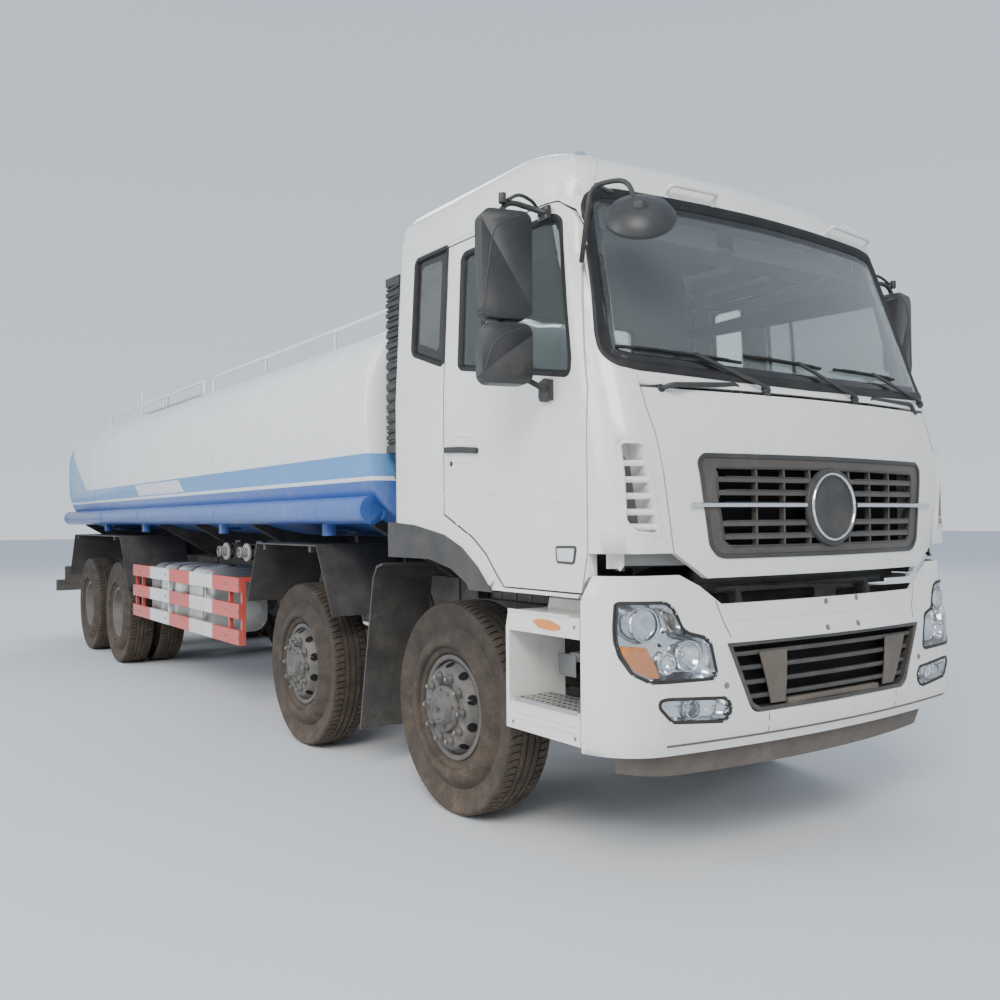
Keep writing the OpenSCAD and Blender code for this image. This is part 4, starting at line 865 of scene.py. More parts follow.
class TANKER_OT_tyres(bpy.types.Operator):
    """Turns each tyre with its wall rings, ribs and tread blocks"""
    bl_idname = "tanker.tyres"
    bl_label = "Fit tyres"

    def execute(self, context):
        for label, _ in SIDES:
            for axle in (1, 2, 3, 4):
                node = f"{'tyre' if axle < 3 else 'tyres'}_{axle}_{label}"
                body = NODE_BODY[node]
                low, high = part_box(node)
                middle = [(low[i] + high[i]) / 2 for i in range(3)]
                offsets = (0,) if axle < 3 else (-0.165, 0.165)
                rings = Shape()
                for shift in offsets:
                    centre = Vector(middle) + Vector((0, shift, 0))
                    profile, _ = tyre_shape(centre)
                    rings.turned(profile, centre, (0, 1, 0), 96, closed=True)
                walls = finish_piece(f"{node}_carcass", rings, "rubber", body, 28)
                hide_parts(node)
                self.tread(f"{node}_tread", middle, offsets, body, context.scene.tanker_sizes.tread_blocks)
        return {"FINISHED"}

    def tread(self, name, middle, offsets, body, count):
        blocks = Shape()
        share = 0.39 * 2 * math.pi * 550 / count
        for shift in offsets:
            for side in (-1, 1):
                loops = []
                for y, r in ((60, 554.0), (86, 552.5), (112, 549.0), (124, 541)):
                    half = share * (1.0 if y < 120 else 0.9)
                    skew = 7 * side * (1 if y < 90 else -0.4)
                    spot = shift * 1000 + side * y
                    loops.append([Vector((a / 1000, spot / 1000, b / 1000)) for a, b in (
                        (-half + skew, 541 if y < 120 else 534), (half + skew, 541 if y < 120 else 534),
                        (half + skew, r), (-half + skew, r))])
                blocks.stack(loops)
        piece = repeated(name, blocks, count, "rubber", body, start=Vector(middle), axis=(0, 1, 0),
                         turn=2 * math.pi / count)
        return piece


class TANKER_OT_wheels(bpy.types.Operator):
    """Adds nuts, hub caps, hand holes and hub flange bolts to the wheels"""
    bl_idname = "tanker.wheels"
    bl_label = "Dress wheels"

    # Adds nuts, hub caps, hand holes drawn as dark patches of painted shade, and hub flange bolts to the wheels
    def execute(self, context):
        nut = context.scene.tanker_sizes.nut_radius * 1000
        for label, side in SIDES:
            for axle in (1, 2, 3, 4):
                node = f"{'wheel' if axle < 3 else 'wheels'}_{axle}_{label}"
                body = NODE_BODY[node]
                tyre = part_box(f"{'tyre' if axle < 3 else 'tyres'}_{axle}_{label}")
                cx = ((tyre[0][0] + tyre[1][0]) / 2 - FRONT_AXLE) * 1000
                cz = (tyre[0][2] + tyre[1][2]) / 2 * 1000
                cy = (tyre[0][1] + tyre[1][1]) / 2 * 1000
                seat = cy + side * (150 if axle < 3 else 14)
                way = Vector((0, side, 0))
                skin = Skin(node)
                ring = lambda r, a: (cx + r * math.cos(a), cz + r * math.sin(a))
                nuts = []
                for k in range(10):
                    u, v = ring(167.5, 2 * math.pi * k / 10)
                    nuts.append((at(u, seat, v) - way * 0.001, way))
                fasteners(f"{node}_nuts", nuts, nut * 1.06, 30, "nut_steel", body, sides=6,
                          collar=1.45)
                studs = [(p + way * 0.029, w) for p, w in nuts]
                fasteners(f"{node}_studs", studs, 9.5, 11, "worn_steel", body, sides=12, collar=1.0)
                # painted shade: the hand holes are not cut, and near-black patches lie on the disc where the holes are
                holes, rims = Shape(), Shape()
                for k in range(10):
                    u, v = ring(222, 2 * math.pi * (k + 0.5) / 10)
                    angle = 2 * math.pi * (k + 0.5) / 10
                    oval = []
                    for j in range(20):
                        b = 2 * math.pi * j / 20
                        p, q = 15.5 * math.cos(b), 29 * math.sin(b)
                        oval.append((u + p * math.cos(angle) - q * math.sin(angle),
                                     v + p * math.sin(angle) + q * math.cos(angle)))
                    holes.patch(skin, label, oval, 0.7, 4, rings=2)
                    rims.ridge(skin, label, oval, 5, 2.4, step=12, closed=True)
                finish_piece(f"{node}_hand_hole_shade", holes, "shadow_gap", body)
                finish_piece(f"{node}_hole_rims", rims, "wheel_grey", body, 60)
                hub = Shape()
                if axle < 3:
                    hub.turned([(0, 112), (2, 116), (7, 116), (9, 112), (9, 0)], at(cx, seat + side * 12, cz), way)
                    hub.turned([(0, 76), (24, 74), (30, 68), (31, 58), (27, 54), (27, 0)],
                               at(cx, seat + side * 20, cz), way)
                    hub.turned([(0, 26), (5, 26), (7, 22), (7, 0)], at(cx, seat + side * 43, cz), way, 6)
                    bolt_r, bolt_at, count = 100, seat + side * 20, 8
                else:
                    hub.turned([(0, 121), (3, 124), (10, 124), (12, 121), (12, 0)], at(cx, cy + side * 176, cz), way)
                    hub.turned([(0, 60), (3, 57), (3, 0)], at(cx, cy + side * 187, cz), way)
                    hub.turned([(0, 123), (6, 126), (12, 123), (12, 0)], at(cx, cy + side * 120, cz), way)
                    bolt_r, bolt_at, count = 102, cy + side * 188, 12
                finish_piece(f"{node}_hub_cap", hub, "wheel_grey", body)
                bolts = []
                for k in range(count):
                    u, v = ring(bolt_r, 2 * math.pi * (k + 0.25) / count)
                    bolts.append((at(u, bolt_at, v) - way * 0.001, way))
                fasteners(f"{node}_hub_bolts", bolts, 8, 7, "nut_steel", body)
                valve = Shape()
                u, v = ring(232, 0.3)
                valve.rod((u, seat - side * 18, v), (u + 4, seat + side * 4, v + 6), 4.5, 10, 1.5)
                valve.rod((u + 4, seat + side * 3, v + 6), (u + 4.5, seat + side * 10, v + 6.5), 6, 10, 1.5)
                finish_piece(f"{node}_valve", valve, "worn_steel", body)
        return {"FINISHED"}


# ---------- cab ----------

SCREEN = [(0, 2147), (500, 2154), (1020, 2176), (1100, 2192), (1130, 2222), (1138, 2260), (1136, 2320),
          (1112, 2509), (1082, 2785), (1066, 2930), (1040, 2980), (1000, 3003), (900, 3015), (0, 3020)]
SCREEN = SCREEN[:-1] + [(0, 3020)] + [(-y, z) for y, z in reversed(SCREEN[1:-1])]
DOOR_WINDOW = [(205, 2320), (230, 2300), (1080, 2160), (1100, 2180), (1102, 2230), (978, 2866), (950, 2892),
               (225, 2888), (198, 2866)]
QUARTER = [(-285, 2470), (-262, 2442), (25, 2350), (48, 2365), (52, 2962), (-262, 2962), (-280, 2944)]
VENT = [(1012, 1473), (1005, 1484), (1066, 1828), (1080, 1846), (1136, 1848), (1146, 1838), (1136, 1530),
        (1110, 1487)]
HEADLAMP = [(1161, 1190), (987, 1188), (954, 1172), (932, 1140), (906, 1078), (882, 1058), (799, 1036),
            (780, 1013), (752, 887), (766, 866), (1073, 870), (1134, 906), (1166, 975), (1175, 1028)]
FOGLAMP = [(688, 706), (679, 742), (702, 778), (998, 797), (1034, 792), (1038, 766), (982, 704), (722, 684)]


ROOF_LAMP = (760, -860)


def flip(points, side):
    """Outline points (y, z) put on the truck's right where side is -1."""
    return [(side * p[0], p[1]) for p in points]


class TANKER_OT_windows(bpy.types.Operator):
    """Fits the rubber seals round the glass and the printed borders of the small panes"""
    bl_idname = "tanker.windows"
    bl_label = "Seal windows"

    def execute(self, context):
        high = context.scene.tanker_sizes.seal_height * 1000
        front = Skin("cab_shell", "cab_glass", "cab_roof")
        seal = Shape().border(front, "front", SCREEN, 30, 15, high, step=40, round_by=18)
        finish_piece("windscreen_seal", seal, "seal_rubber", "cab", 50)
        rim = Shape().border(front, "front", grown(SCREEN, -46), 18, 20, 0.6, step=40, sink=0.5, round_by=18)
        finish_piece("windscreen_print", rim, "fritted_edge", "cab", 50)
        for label, _ in SIDES:
            walls = Skin(f"door_{label}", f"door_glass_{label}", "cab_shell", "cab_glass")
            seal = Shape().border(walls, label, DOOR_WINDOW, 20, 12, high * 0.7, step=40, round_by=18)
            channel = Shape().ridge(walls, label, [(400, 2288), (380, 2880)], 26, 5, 0, 60)
            finish_piece(f"door_window_seal_{label}", seal, "seal_rubber", f"door_{label}", 50)
            finish_piece(f"door_window_bar_{label}", channel, "seal_rubber", f"door_{label}", 50)
            quarter = Shape().border(walls, label, QUARTER, 16, 14, high * 0.7, step=40, round_by=18)
            finish_piece(f"quarter_seal_{label}", quarter, "seal_rubber", "cab", 50)
            inner = [(-238, 2500), (-40, 2432), (-22, 2445), (-20, 2900), (-40, 2918), (-222, 2918), (-238, 2900)]
            outer = stepped(rounded(grown(QUARTER, -16), 12, True), 30, True)
            middle = sum(outer, Vector((0, 0))) / len(outer)
            border = []
            for p in outer:
                way = p - middle
                hit = 0.55
                for a, b in zip(inner, inner[1:] + inner[:1]):
                    a, b = Vector(a) - middle, Vector(b) - middle
                    edge = b - a
                    cross = way.x * edge.y - way.y * edge.x
                    if abs(cross) > 1e-6:
                        t = (a.x * edge.y - a.y * edge.x) / cross
                        s = (a.x * way.y - a.y * way.x) / cross
                        if t > 0 and -0.001 <= s <= 1.001:
                            hit = t
                border.append(middle + way * min(hit, 0.96))
            print_out = Shape().stack([[walls.drop(label, p.x, p.y, lift)[0] for p in run]
                                       for run, lift in ((outer, 0.3), (outer, 1.0), (border, 1.0), (border, 0.3))],
                                      joined=True)
            finish_piece(f"quarter_print_{label}", print_out, "fritted_edge", "cab", 50)
        back = Skin("cab_shell", "cab_glass")
        pane = [(-620, 2350), (620, 2350), (620, 2800), (-620, 2800)]
        seal = Shape().border(back, "back", pane, 20, 16, high, step=60, round_by=60)
        finish_piece("rear_window_seal", seal, "seal_rubber", "cab", 50)
        return {"FINISHED"}


class TANKER_OT_wipers(bpy.types.Operator):
    """Mounts the three wipers with their arms, blades and pivot caps"""
    bl_idname = "tanker.wipers"
    bl_label = "Mount wipers"

    def execute(self, context):
        skin = Skin("cab_shell", "cab_glass", "front_panel")
        arms, blades, caps = Shape(), Shape(), Shape()
        for pivot, start, end, grip in (
                ((-330, 2112), (-1085, 2262), (-432, 2233), (-700, 2246)),
                ((320, 2112), (-400, 2268), (120, 2250), (-60, 2256)),
                ((1010, 2140), (232, 2256), (800, 2256), (560, 2256))):
            foot, out = skin.drop("front", *pivot, 4)
            caps.turned([(-6, 24), (8, 24), (16, 18), (20, 8), (20, 0)], foot, out, 24)
            line = [pivot, ((pivot[0] * 0.45 + grip[0] * 0.55), (pivot[1] * 0.45 + grip[1] * 0.55)), grip]
            places, outs = skin.trail("front", rounded(line, 120), 26, 40)
            places[0] = foot + out * 0.014
            arms.sweep(places, [(-9, -4), (-9, 3), (-5, 6), (5, 6), (9, 3), (9, -4)], outs)
            blade = [Vector(start).lerp(Vector(end), k / 16) for k in range(17)]
            places, outs = skin.trail("front", blade, 9, 80)
            blades.sweep(places, [(-3, -7), (-7, 3), (-5, 9), (0, 11), (5, 9), (7, 3), (3, -7)], outs)
            for share in (0.28, 0.72):
                spot, way = skin.drop("front", *Vector(start).lerp(Vector(end), share), 16)
                blades.turned([(0, 7), (10, 6), (12, 0)], spot, way, 10)
            for a, b in ((0.12, 0.5), (0.88, 0.5)):
                bow = [Vector(start).lerp(Vector(end), a * (1 - t) + b * t) for t in (0, 0.25, 0.5, 0.75, 1)]
                places, outs = skin.trail("front", bow, 21, 80)
                blades.sweep(places, [(-4, -3), (-4, 3), (4, 3), (4, -3)], outs)
        finish_piece("wiper_arms", arms, "trim_black", "cab")
        finish_piece("wiper_blades", blades, "seal_rubber", "cab")
        finish_piece("wiper_pivots", caps, "trim_black", "cab")
        return {"FINISHED"}


class TANKER_OT_front(bpy.types.Operator):
    """Dresses the front panel: grille frame, slats, plain ring, chrome bar, grab handles and seams"""
    bl_idname = "tanker.front"
    bl_label = "Dress front panel"

    def execute(self, context):
        panel = Skin("front_panel", "grille")
        outer = mirrored([(0, 1376), (672, 1378), (708, 1388), (740, 1425), (794, 1773), (772, 1797), (0, 1800)])
        frame_lip = Shape().border(panel, "front", outer, 4, 16, 7, step=60, round_by=14)
        finish_piece("grille_frame", frame_lip, "trim_black", "front_panel", 45)
        edge = Shape()
        inner = mirrored([(0, 1413), (644, 1415), (671, 1438), (702, 1608), (711, 1750), (0, 1756)])
        edge.ridge(panel, "front", rounded(inner, 18, True), 9, 4, 0, 50, True)
        for z in (1466, 1523, 1602, 1656, 1713):
            for y0, y1 in ((-664, -190), (190, 664)):
                edge.ridge(panel, "front", [(y0, z), (y1, z)], 7, 3, 0, 60)
        finish_piece("grille_slat_lips", edge, "trim_black", "front_panel", 45)
        chrome = Shape()
        for y0, y1 in ((-855, -184), (184, 876)):
            places, outs = panel.trail("front", [(y0, 1592), (y1, 1592)], 9, 60)
            chrome.sweep(places, [(11 * math.cos(a), 11 * math.sin(a))
                                  for a in (2 * math.pi * k / 12 for k in range(12))], outs)
        centre, out = panel.drop("front", 0, 1584, 0)
        out = Vector((1, 0, 0.02)).normalized()
        chrome.turned([(10, 155), (16, 158), (24, 157), (28, 151), (24, 145), (14, 143), (10, 146)], centre, out, 72,
                      closed=True)
        finish_piece("grille_chrome", chrome, "bright_metal", "front_panel", 50)
        disc = Shape().turned([(-4, 181), (6, 181), (14, 176), (17, 166), (14, 150), (8, 143), (7, 60), (9, 0)],
                              centre, out, 72)
        finish_piece("grille_disc", disc, "trim_black", "front_panel", 40)
        seams = Shape()
        bevel = [(-985, 2056), (-842, 2060), (-803, 2024), (-465, 2016), (-393, 2052), (0, 2052), (393, 2052),
                 (465, 2016), (803, 2024), (842, 2060), (985, 2056)]
        seams.ridge(panel, "front", rounded(bevel, 30), 7, 1.2, 0, 40)
        finish_piece("panel_bevel_line", seams, "cab_white", "front_panel", 60)
        # painted shade: a near-black sheet behind the grille slats stands in for the shade inside the grille
        shade_sheet = Shape()
        fronts = []
        for z in (1392, 1782):
            fronts.append([panel.drop("front", y, z, 0)[0] - Vector((0.05, 0, 0)) for y in range(-660, 661, 110)])
        loop = fronts[0] + list(reversed(fronts[1]))
        shade_sheet.stack([loop, [p - Vector((0.004, 0, 0)) for p in loop]])
        finish_piece("grille_shade_sheet", shade_sheet, "shadow_gap", "front_panel", 60)
        top = Skin("cab_shell", "cab_roof", "front_panel")
        for runs, z, finish, body in (
                (((-618, -331), (556, 955)), 3047, "cab_white", "cab"),
                (((-930, -460), (460, 930)), 2098, "trim_black", "front_panel")):
            bars = Shape()
            skin = top if body == "cab" else panel
            for a, b in runs:
                (pa, na), (pb, nb) = skin.drop("front", a, z, 0), skin.drop("front", b, z, 0)
                ends = [pa - na * 0.01, pa + na * 0.042, pb + nb * 0.042, pb - nb * 0.01]
                if body == "cab":
                    ends[1] += Vector((0, 0, 0.03))
                    ends[2] += Vector((0, 0, 0.03))
                else:
                    ends[1] += Vector((0, 0.03, 0))
                    ends[2] -= Vector((0, 0.03, 0))
                run = rounded(ends, 0.035)
                ring = [(11 * math.cos(2 * math.pi * k / 12), 11 * math.sin(2 * math.pi * k / 12)) for k in range(12)]
                bars.sweep(run, ring)
                for p, n in ((pa, na), (pb, nb)):
                    bars.turned([(-6, 19), (3, 19), (5, 16), (5, 0)], p, n, 20)
            finish_piece("header_grab_bars" if body == "cab" else "panel_grab_bars", bars, finish, body)
        return {"FINISHED"}


class TANKER_OT_cab_sides(bpy.types.Operator):
    """Adds door handles, locks, creases, corner vents, marker lamps and arch bands"""
    bl_idname = "tanker.cab_sides"
    bl_label = "Dress cab sides"

    def execute(self, context):
        for label, side in SIDES:
            door, body = Skin(f"door_{label}"), f"door_{label}"
            shell = Skin("cab_shell", "wheel_arch_trims", f"door_{label}")
            dish, lips = Shape(), Shape()
            cup = [(130, 1868), (138, 1938), (176, 1958), (250, 1960), (300, 1953), (360, 1932), (398, 1902),
                   (396, 1850), (372, 1832), (250, 1824), (160, 1830)]
            dish.patch(door, label, stepped(rounded(cup, 16, True), 14, True), 1.0, 3, rings=4)
            lips.ridge(door, label, rounded(cup, 18, True), 9, 4.0, 0, 16, True)
            finish_piece(f"handle_dish_{label}", dish, "cab_white", body)
            finish_piece(f"handle_dish_lip_{label}", lips, "cab_white", body, 60)
            grip = Shape()
            places, outs = door.trail(label, [(96, 1896), (240, 1889), (388, 1876)], 13, 20)
            grip.sweep(places, [(-15, -3), (-15, 4), (-10, 9), (10, 9), (15, 4), (15, -3)], outs)
            for u, v in ((104, 1896), (376, 1877)):
                spot, way = door.drop(label, u, v, -1)
                grip.turned([(0, 13), (14, 12), (15, 0)], spot, way, 16)
            spot, way = door.drop(label, 134, 1824, 0)
            grip.turned([(-1, 13), (4, 13), (6, 11), (6, 0)], spot, way, 24)
            finish_piece(f"door_handle_{label}", grip, "trim_black", body)
            key = Shape().turned([(0, 8), (2.4, 8), (2.4, 0)], spot + way * 0.0055, way, 20)
            finish_piece(f"door_lock_{label}", key, "worn_steel", body)
            folds = Shape()
            folds.ridge(door, label, [(76, 1700), (400, 1676), (822, 1644), (1150, 1604)], 22, 2.2, 0, 60)
            folds.ridge(door, label, [(170, 2305), (600, 2232), (1066, 2150), (1130, 2132)], 18, 2.4, 0, 60)
            finish_piece(f"door_folds_{label}", folds, "cab_white", body, 70)
            lamp_outline = [(1004, 1412), (1132, 1414), (1118, 1352), (1010, 1354)]
            holder = Shape().border(door, label, lamp_outline, 3, 9, 6, step=20, round_by=8)
            finish_piece(f"marker_holder_{label}", holder, "trim_black", body, 45)
            lens = Shape().patch(door, label, stepped(rounded(grown(lamp_outline, -2), 8, True), 12, True), 5, 6, 4)
            finish_piece(f"marker_lens_{label}", lens, "white_lens", body)
            band = Shape()
            arc_top = [(-440, 1700), (60, 1672), (92, 1628), (150, 1540), (250, 1480), (353, 1422), (440, 1350),
                       (503, 1289), (575, 1226)]
            band.ridge(shell, label, rounded(arc_top, 60), 9, 2.0, 0, 40)
            finish_piece(f"arch_seam_{label}", band, "cab_white", "cab", 70)
            vent, slats = Shape(), Shape()
            corner = Skin("cab_shell")
            outline = flip(VENT, side)
            vent.border(corner, "front", outline, 3, 12, 4, step=25, sink=4, round_by=12)
            finish_piece(f"corner_vent_lip_{label}", vent, "cab_white", "cab", 50)
            back = Shape()
            surround = flip([(988, 1452), (1050, 1868), (1196, 1888), (1150, 1470)], side)
            back.ridge(corner, "front", rounded(surround, 26, True), 7, 1.6, 0, 30, True)
            finish_piece(f"corner_block_edge_{label}", back, "cab_white", "cab", 60)
            for z, y0, y1 in ((1768, 1062, 1144), (1700, 1052, 1140), (1632, 1042, 1136), (1566, 1032, 1132),
                              (1505, 1024, 1118)):
                edge_a, n = corner.drop("front", side * (y0 - 26), z, 0)
                edge_b, m = corner.drop("front", side * (y1 + 12), z, 0)
                depth = Vector((-0.018, 0, 0))
                places = [edge_a + depth, (edge_a + edge_b) / 2 + depth + (n + m) * 0.003, edge_b + depth]
                slats.sweep(places, [(-13, -5), (-15, 2), (-6, 6), (9, 0), (11, -4)], [n, (n + m).normalized(), m])
            finish_piece(f"corner_vent_slats_{label}", slats, "cab_white", "cab")
        roof = Skin("cab_roof", "cab_shell")
        ribs = Shape()
        for side in (-1, 1):
            for y0, y1, end in ((1010, 900, 3270), (1085, 1010, 3230)):
                run = [(side * y0, 3062), (side * (y0 * 0.65 + y1 * 0.35), 3140), (side * y1, end)]
                ribs.ridge(roof, "front", rounded(run, 60), 16, 3.0, 0, 30, sink=5)
        for label, side in SIDES:
            ribs.ridge(roof, label, [(-480, 2988), (300, 2990), (960, 2994)], 14, 2.5, 0, 60)
        finish_piece("roof_folds", ribs, "cab_white", "cab", 70)
        dome = Shape()
        spot, way = roof.drop("top", ROOF_LAMP[0], ROOF_LAMP[1], -4)
        dome.turned([(0, 44), (8, 46), (12, 42), (24, 36), (36, 24), (42, 9), (43, 0)], spot, way, 40)
        finish_piece("roof_lamp", dome, "bright_metal", "cab")
        return {"FINISHED"}


class TANKER_OT_lamps(bpy.types.Operator):
    """Builds the headlamps, fog lamps and rear lamps with bowls, lenses and bulbs"""
    bl_idname = "tanker.lamps"
    bl_label = "Build lamps"

    def execute(self, context):
        face, bumper = Skin("lamps"), Skin("front_bumper", "lamps")
        clear, bowls, trims, amber, chrome = Shape(), Shape(), Shape(), Shape(), Shape()
        for side in (-1, 1):
            for outline, mid, depth in ((HEADLAMP, (985, 1010), 62), (FOGLAMP, (850, 744), 48)):
                run = stepped(rounded(flip(outline, side), 14, True), 16, True)
                mid = Vector((side * mid[0], mid[1]))
                clear.patch(face, "front", run, -0.5, 3, rings=6, mid=mid)
                loops = []
                for share, sink in ((0.985, 5), (0.97, 14), (0.9, depth * 0.75), (0.8, depth), (0.05, depth)):
                    loops.append([face.drop("front", *mid.lerp(p, share), 0)[0] - Vector((sink / 1000, 0, 0))
                                  for p in run])
                inner = [[q + Vector((-0.003, 0, 0)) for q in loop] for loop in loops]
                bowls.stack(loops + list(reversed(inner)), joined=True)
                trims.border(bumper, "front", flip(outline, side), 6, 8, 2.6, step=25, round_by=14)
            strip = flip([(1072, 886), (1030, 884), (1084, 1014), (1168, 1019), (1160, 975), (1128, 912)], side)
            amber.patch(face, "front", stepped(rounded(strip, 8, True), 18, True), -7, 3, rings=3)
            for y, z, r, sink, part in ((1058, 1098, 66, 40, "glass"), (868, 962, 60, 40, "bowl"),
                                        (985, 938, 40, 34, "bowl"), (858, 742, 36, 34, "glass")):
                spot = face.drop("front", side * y, z, 0)[0] - Vector((sink / 1000, 0, 0))
                out = Vector((1, side * 0.12, 0)).normalized()
                chrome.turned([(0, r + 7), (10, r + 8), (15, r + 4), (14, r), (6, r - 3), (0, r - 2)], spot, out, 40,
                              closed=True)
                if part == "glass":
                    clear.turned([(2, r - 4), (9, r * 0.82), (16, r * 0.5), (18, 0.1), (0, 0.1), (0, r - 4)], spot,
                                 out, 36, closed=True)
                else:
                    chrome.turned([(8, r - 3), (-8, r * 0.72), (-18, r * 0.4), (-20, 8), (-4, 8), (-3, 0.1),
                                   (-24, 0.1), (-24, r * 0.5), (-10, r - 1)], spot, out, 36, closed=True)
        finish_piece("front_lamp_lenses", clear, "lens_glass", "chassis")
        finish_piece("front_lamp_bowls", bowls, "bright_metal", "chassis")
        finish_piece("front_lamp_seals", trims, "seal_rubber", "chassis", 50)
        finish_piece("front_turn_lenses", amber, "amber_lens", "chassis")
        finish_piece("front_lamp_reflectors", chrome, "bright_metal", "chassis", 50)
        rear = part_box("lamps")[0][0]
        x = (rear - FRONT_AXLE) * 1000
        housing, red, orange, white = Shape(), Shape(), Shape(), Shape()
        for side in (-1, 1):
            y0, y1 = sorted((side * 700, side * 1120))
            housing.block((x + 16, y0, 830), (x + 48, y1, 930), 6)
            for shape, a, b in ((orange, 1000, 1110), (red, 806, 996), (white, 710, 802)):
                p, q = sorted((side * a, side * b))
                shape.block((x + 1, p, 842), (x + 20, q, 918), 8, segments=3)
        lamps = finish_piece("rear_lamp_housings", housing, "trim_black", "chassis")
        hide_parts("lamps")
        finish_piece("rear_red_lenses", red, "red_lens", "chassis")
        finish_piece("rear_amber_lenses", orange, "amber_lens", "chassis")
        finish_piece("rear_white_lenses", white, "white_lens", "chassis")
        return {"FINISHED"}


class TANKER_OT_bumper(bpy.types.Operator):
    """Adds the bumper's seams, bolts, lower intake frame and bars, rubber flaps and perforated step"""
    bl_idname = "tanker.bumper"
    bl_label = "Dress bumper"

    def execute(self, context):
        skin = Skin("front_bumper", "lamps")
        seams, frame_bars = Shape(), Shape()
        for side in (-1, 1):
            seams.ridge(skin, "front", flip([(722, 1186), (651, 999), (580, 760), (546, 706)], side), 4, 0.6, 0, 40)
            seams.ridge(skin, "front", flip([(464, 605), (464, 690)], side), 4, 0.6, 0, 30)
        finish_piece("bumper_seams", seams, "shadow_gap", "chassis", 60)
        crease = Shape()
        crease.ridge(skin, "front", [(y, 1102) for y in range(-640, 641, 80)], 16, 2.0, 0, 60)
        finish_piece("bumper_crease", crease, "cab_white", "chassis", 70)
        intake = mirrored([(0, 700), (520, 702), (572, 735), (690, 1004), (0, 1004)])
        inner = mirrored([(0, 716), (505, 718), (552, 745), (664, 990), (0, 990)])
        loops = []
        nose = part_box("front_bumper")[1][0]
        x0 = (nose - FRONT_AXLE) * 1000
        for outline, back in ((intake, 22), (intake, 12), (inner, 14), (inner, 60), (intake, 60)):
            loops.append([at(x0 - back - 0.00006 * p.x ** 2, p.x, p.y) for p in outline])
        frame_bars.stack(loops, joined=True)
        for z, half in ((954, 640), (892, 610), (828, 580), (766, 560)):
            run = [at(x0 - 34 - 0.00006 * y ** 2, y, z) for y in range(-half, half + 1, half // 6)]
            frame_bars.sweep(run, [(-9, -12), (-9, 6), (0, 10), (9, 6), (9, -12)], [Vector((1, 0, 0))] * len(run))
        finish_piece("intake_frame", frame_bars, "trim_black", "chassis")
        # painted shade: a near-black sheet behind the intake bars stands in for the shade inside the intake
        dark = Shape()
        dark.stack([[at(x0 - 66 - 0.00006 * p.x ** 2, p.x, p.y) for p in intake],
                    [at(x0 - 70 - 0.00006 * p.x ** 2, p.x, p.y) for p in intake]])
        finish_piece("intake_shade_sheet", dark, "shadow_gap", "chassis")
        flaps = Shape()
        for sign in (-1, 1):
            top, foot = ((338, 508), (344, 433)) if sign < 0 else ((394, 567), (373, 467))
            loops = []
            for share in (0, 0.3, 0.7, 1.0):
                z = 957 - 229 * share
                a = sign * (top[0] * (1 - share) + foot[0] * share)
                b = sign * (top[1] * (1 - share) + foot[1] * share)
                sag = 4 + 10 * math.sin(share * 2.2)
                loops.append([at(x0 - 20 + sag - 0.00006 * a * a - 14 * share, a, z),
                              at(x0 - 20 + sag - 0.00006 * b * b - 14 * share, b, z),
                              at(x0 - 26 + sag - 0.00006 * b * b - 14 * share, b, z),
                              at(x0 - 26 + sag - 0.00006 * a * a - 14 * share, a, z)])
            flaps.stack(loops)
        finish_piece("intake_flaps", flaps, "pad_brown", "chassis")
        step = Shape().block((x0 - 60, -330, 716), (x0 - 22, 330, 742), 5)
        finish_piece("bumper_step", step, "pad_brown", "chassis")
        # painted shade: the step's perforations are near-black discs on its top, not cut holes
        hole = Shape().turned([(0, 5), (1, 5), (1, 0)], Vector((0, 0, 0)), (0, 0, 1), 8)
        repeated("bumper_step_holes", hole, 26, "shadow_gap", "chassis",
                 start=at(x0 - 34, -312, 741.5), step=(0, 0.025, 0))
        liner = Shape()
        for side in (-1, 1):
            y0, y1 = sorted((side * 470, side * 1178))
            liner.block((1196, y0, 640), (1201, y1, 1168), 1.5)
        liner.block((1096, -372, 790), (1146, 372, 1178), 12)
        for k in range(11):
            liner.block((1144, -360, 820 + 30 * k), (1152, 360, 826 + 30 * k), 1)
        finish_piece("radiator_and_liners", liner, "frame_black", "chassis")
        spots = [skin.drop("front", y, z, 0) for y, z in ((-43, 1150), (188, 1156), (-60, 1033), (170, 1037),
                                                          (-700, 830), (700, 830))]
        fasteners("bumper_bolts", spots, 9, 6, "worn_steel", "chassis", collar=1.6)
        lip = Shape()
        lip.ridge(skin, "front", [(y, 604) for y in range(-1000, 1001, 100)], 10, 3, 0, 60)
        finish_piece("bumper_foot_bead", lip, "pad_brown", "chassis", 60)
        return {"FINISHED"}


# ---------- seats and cabin ----------

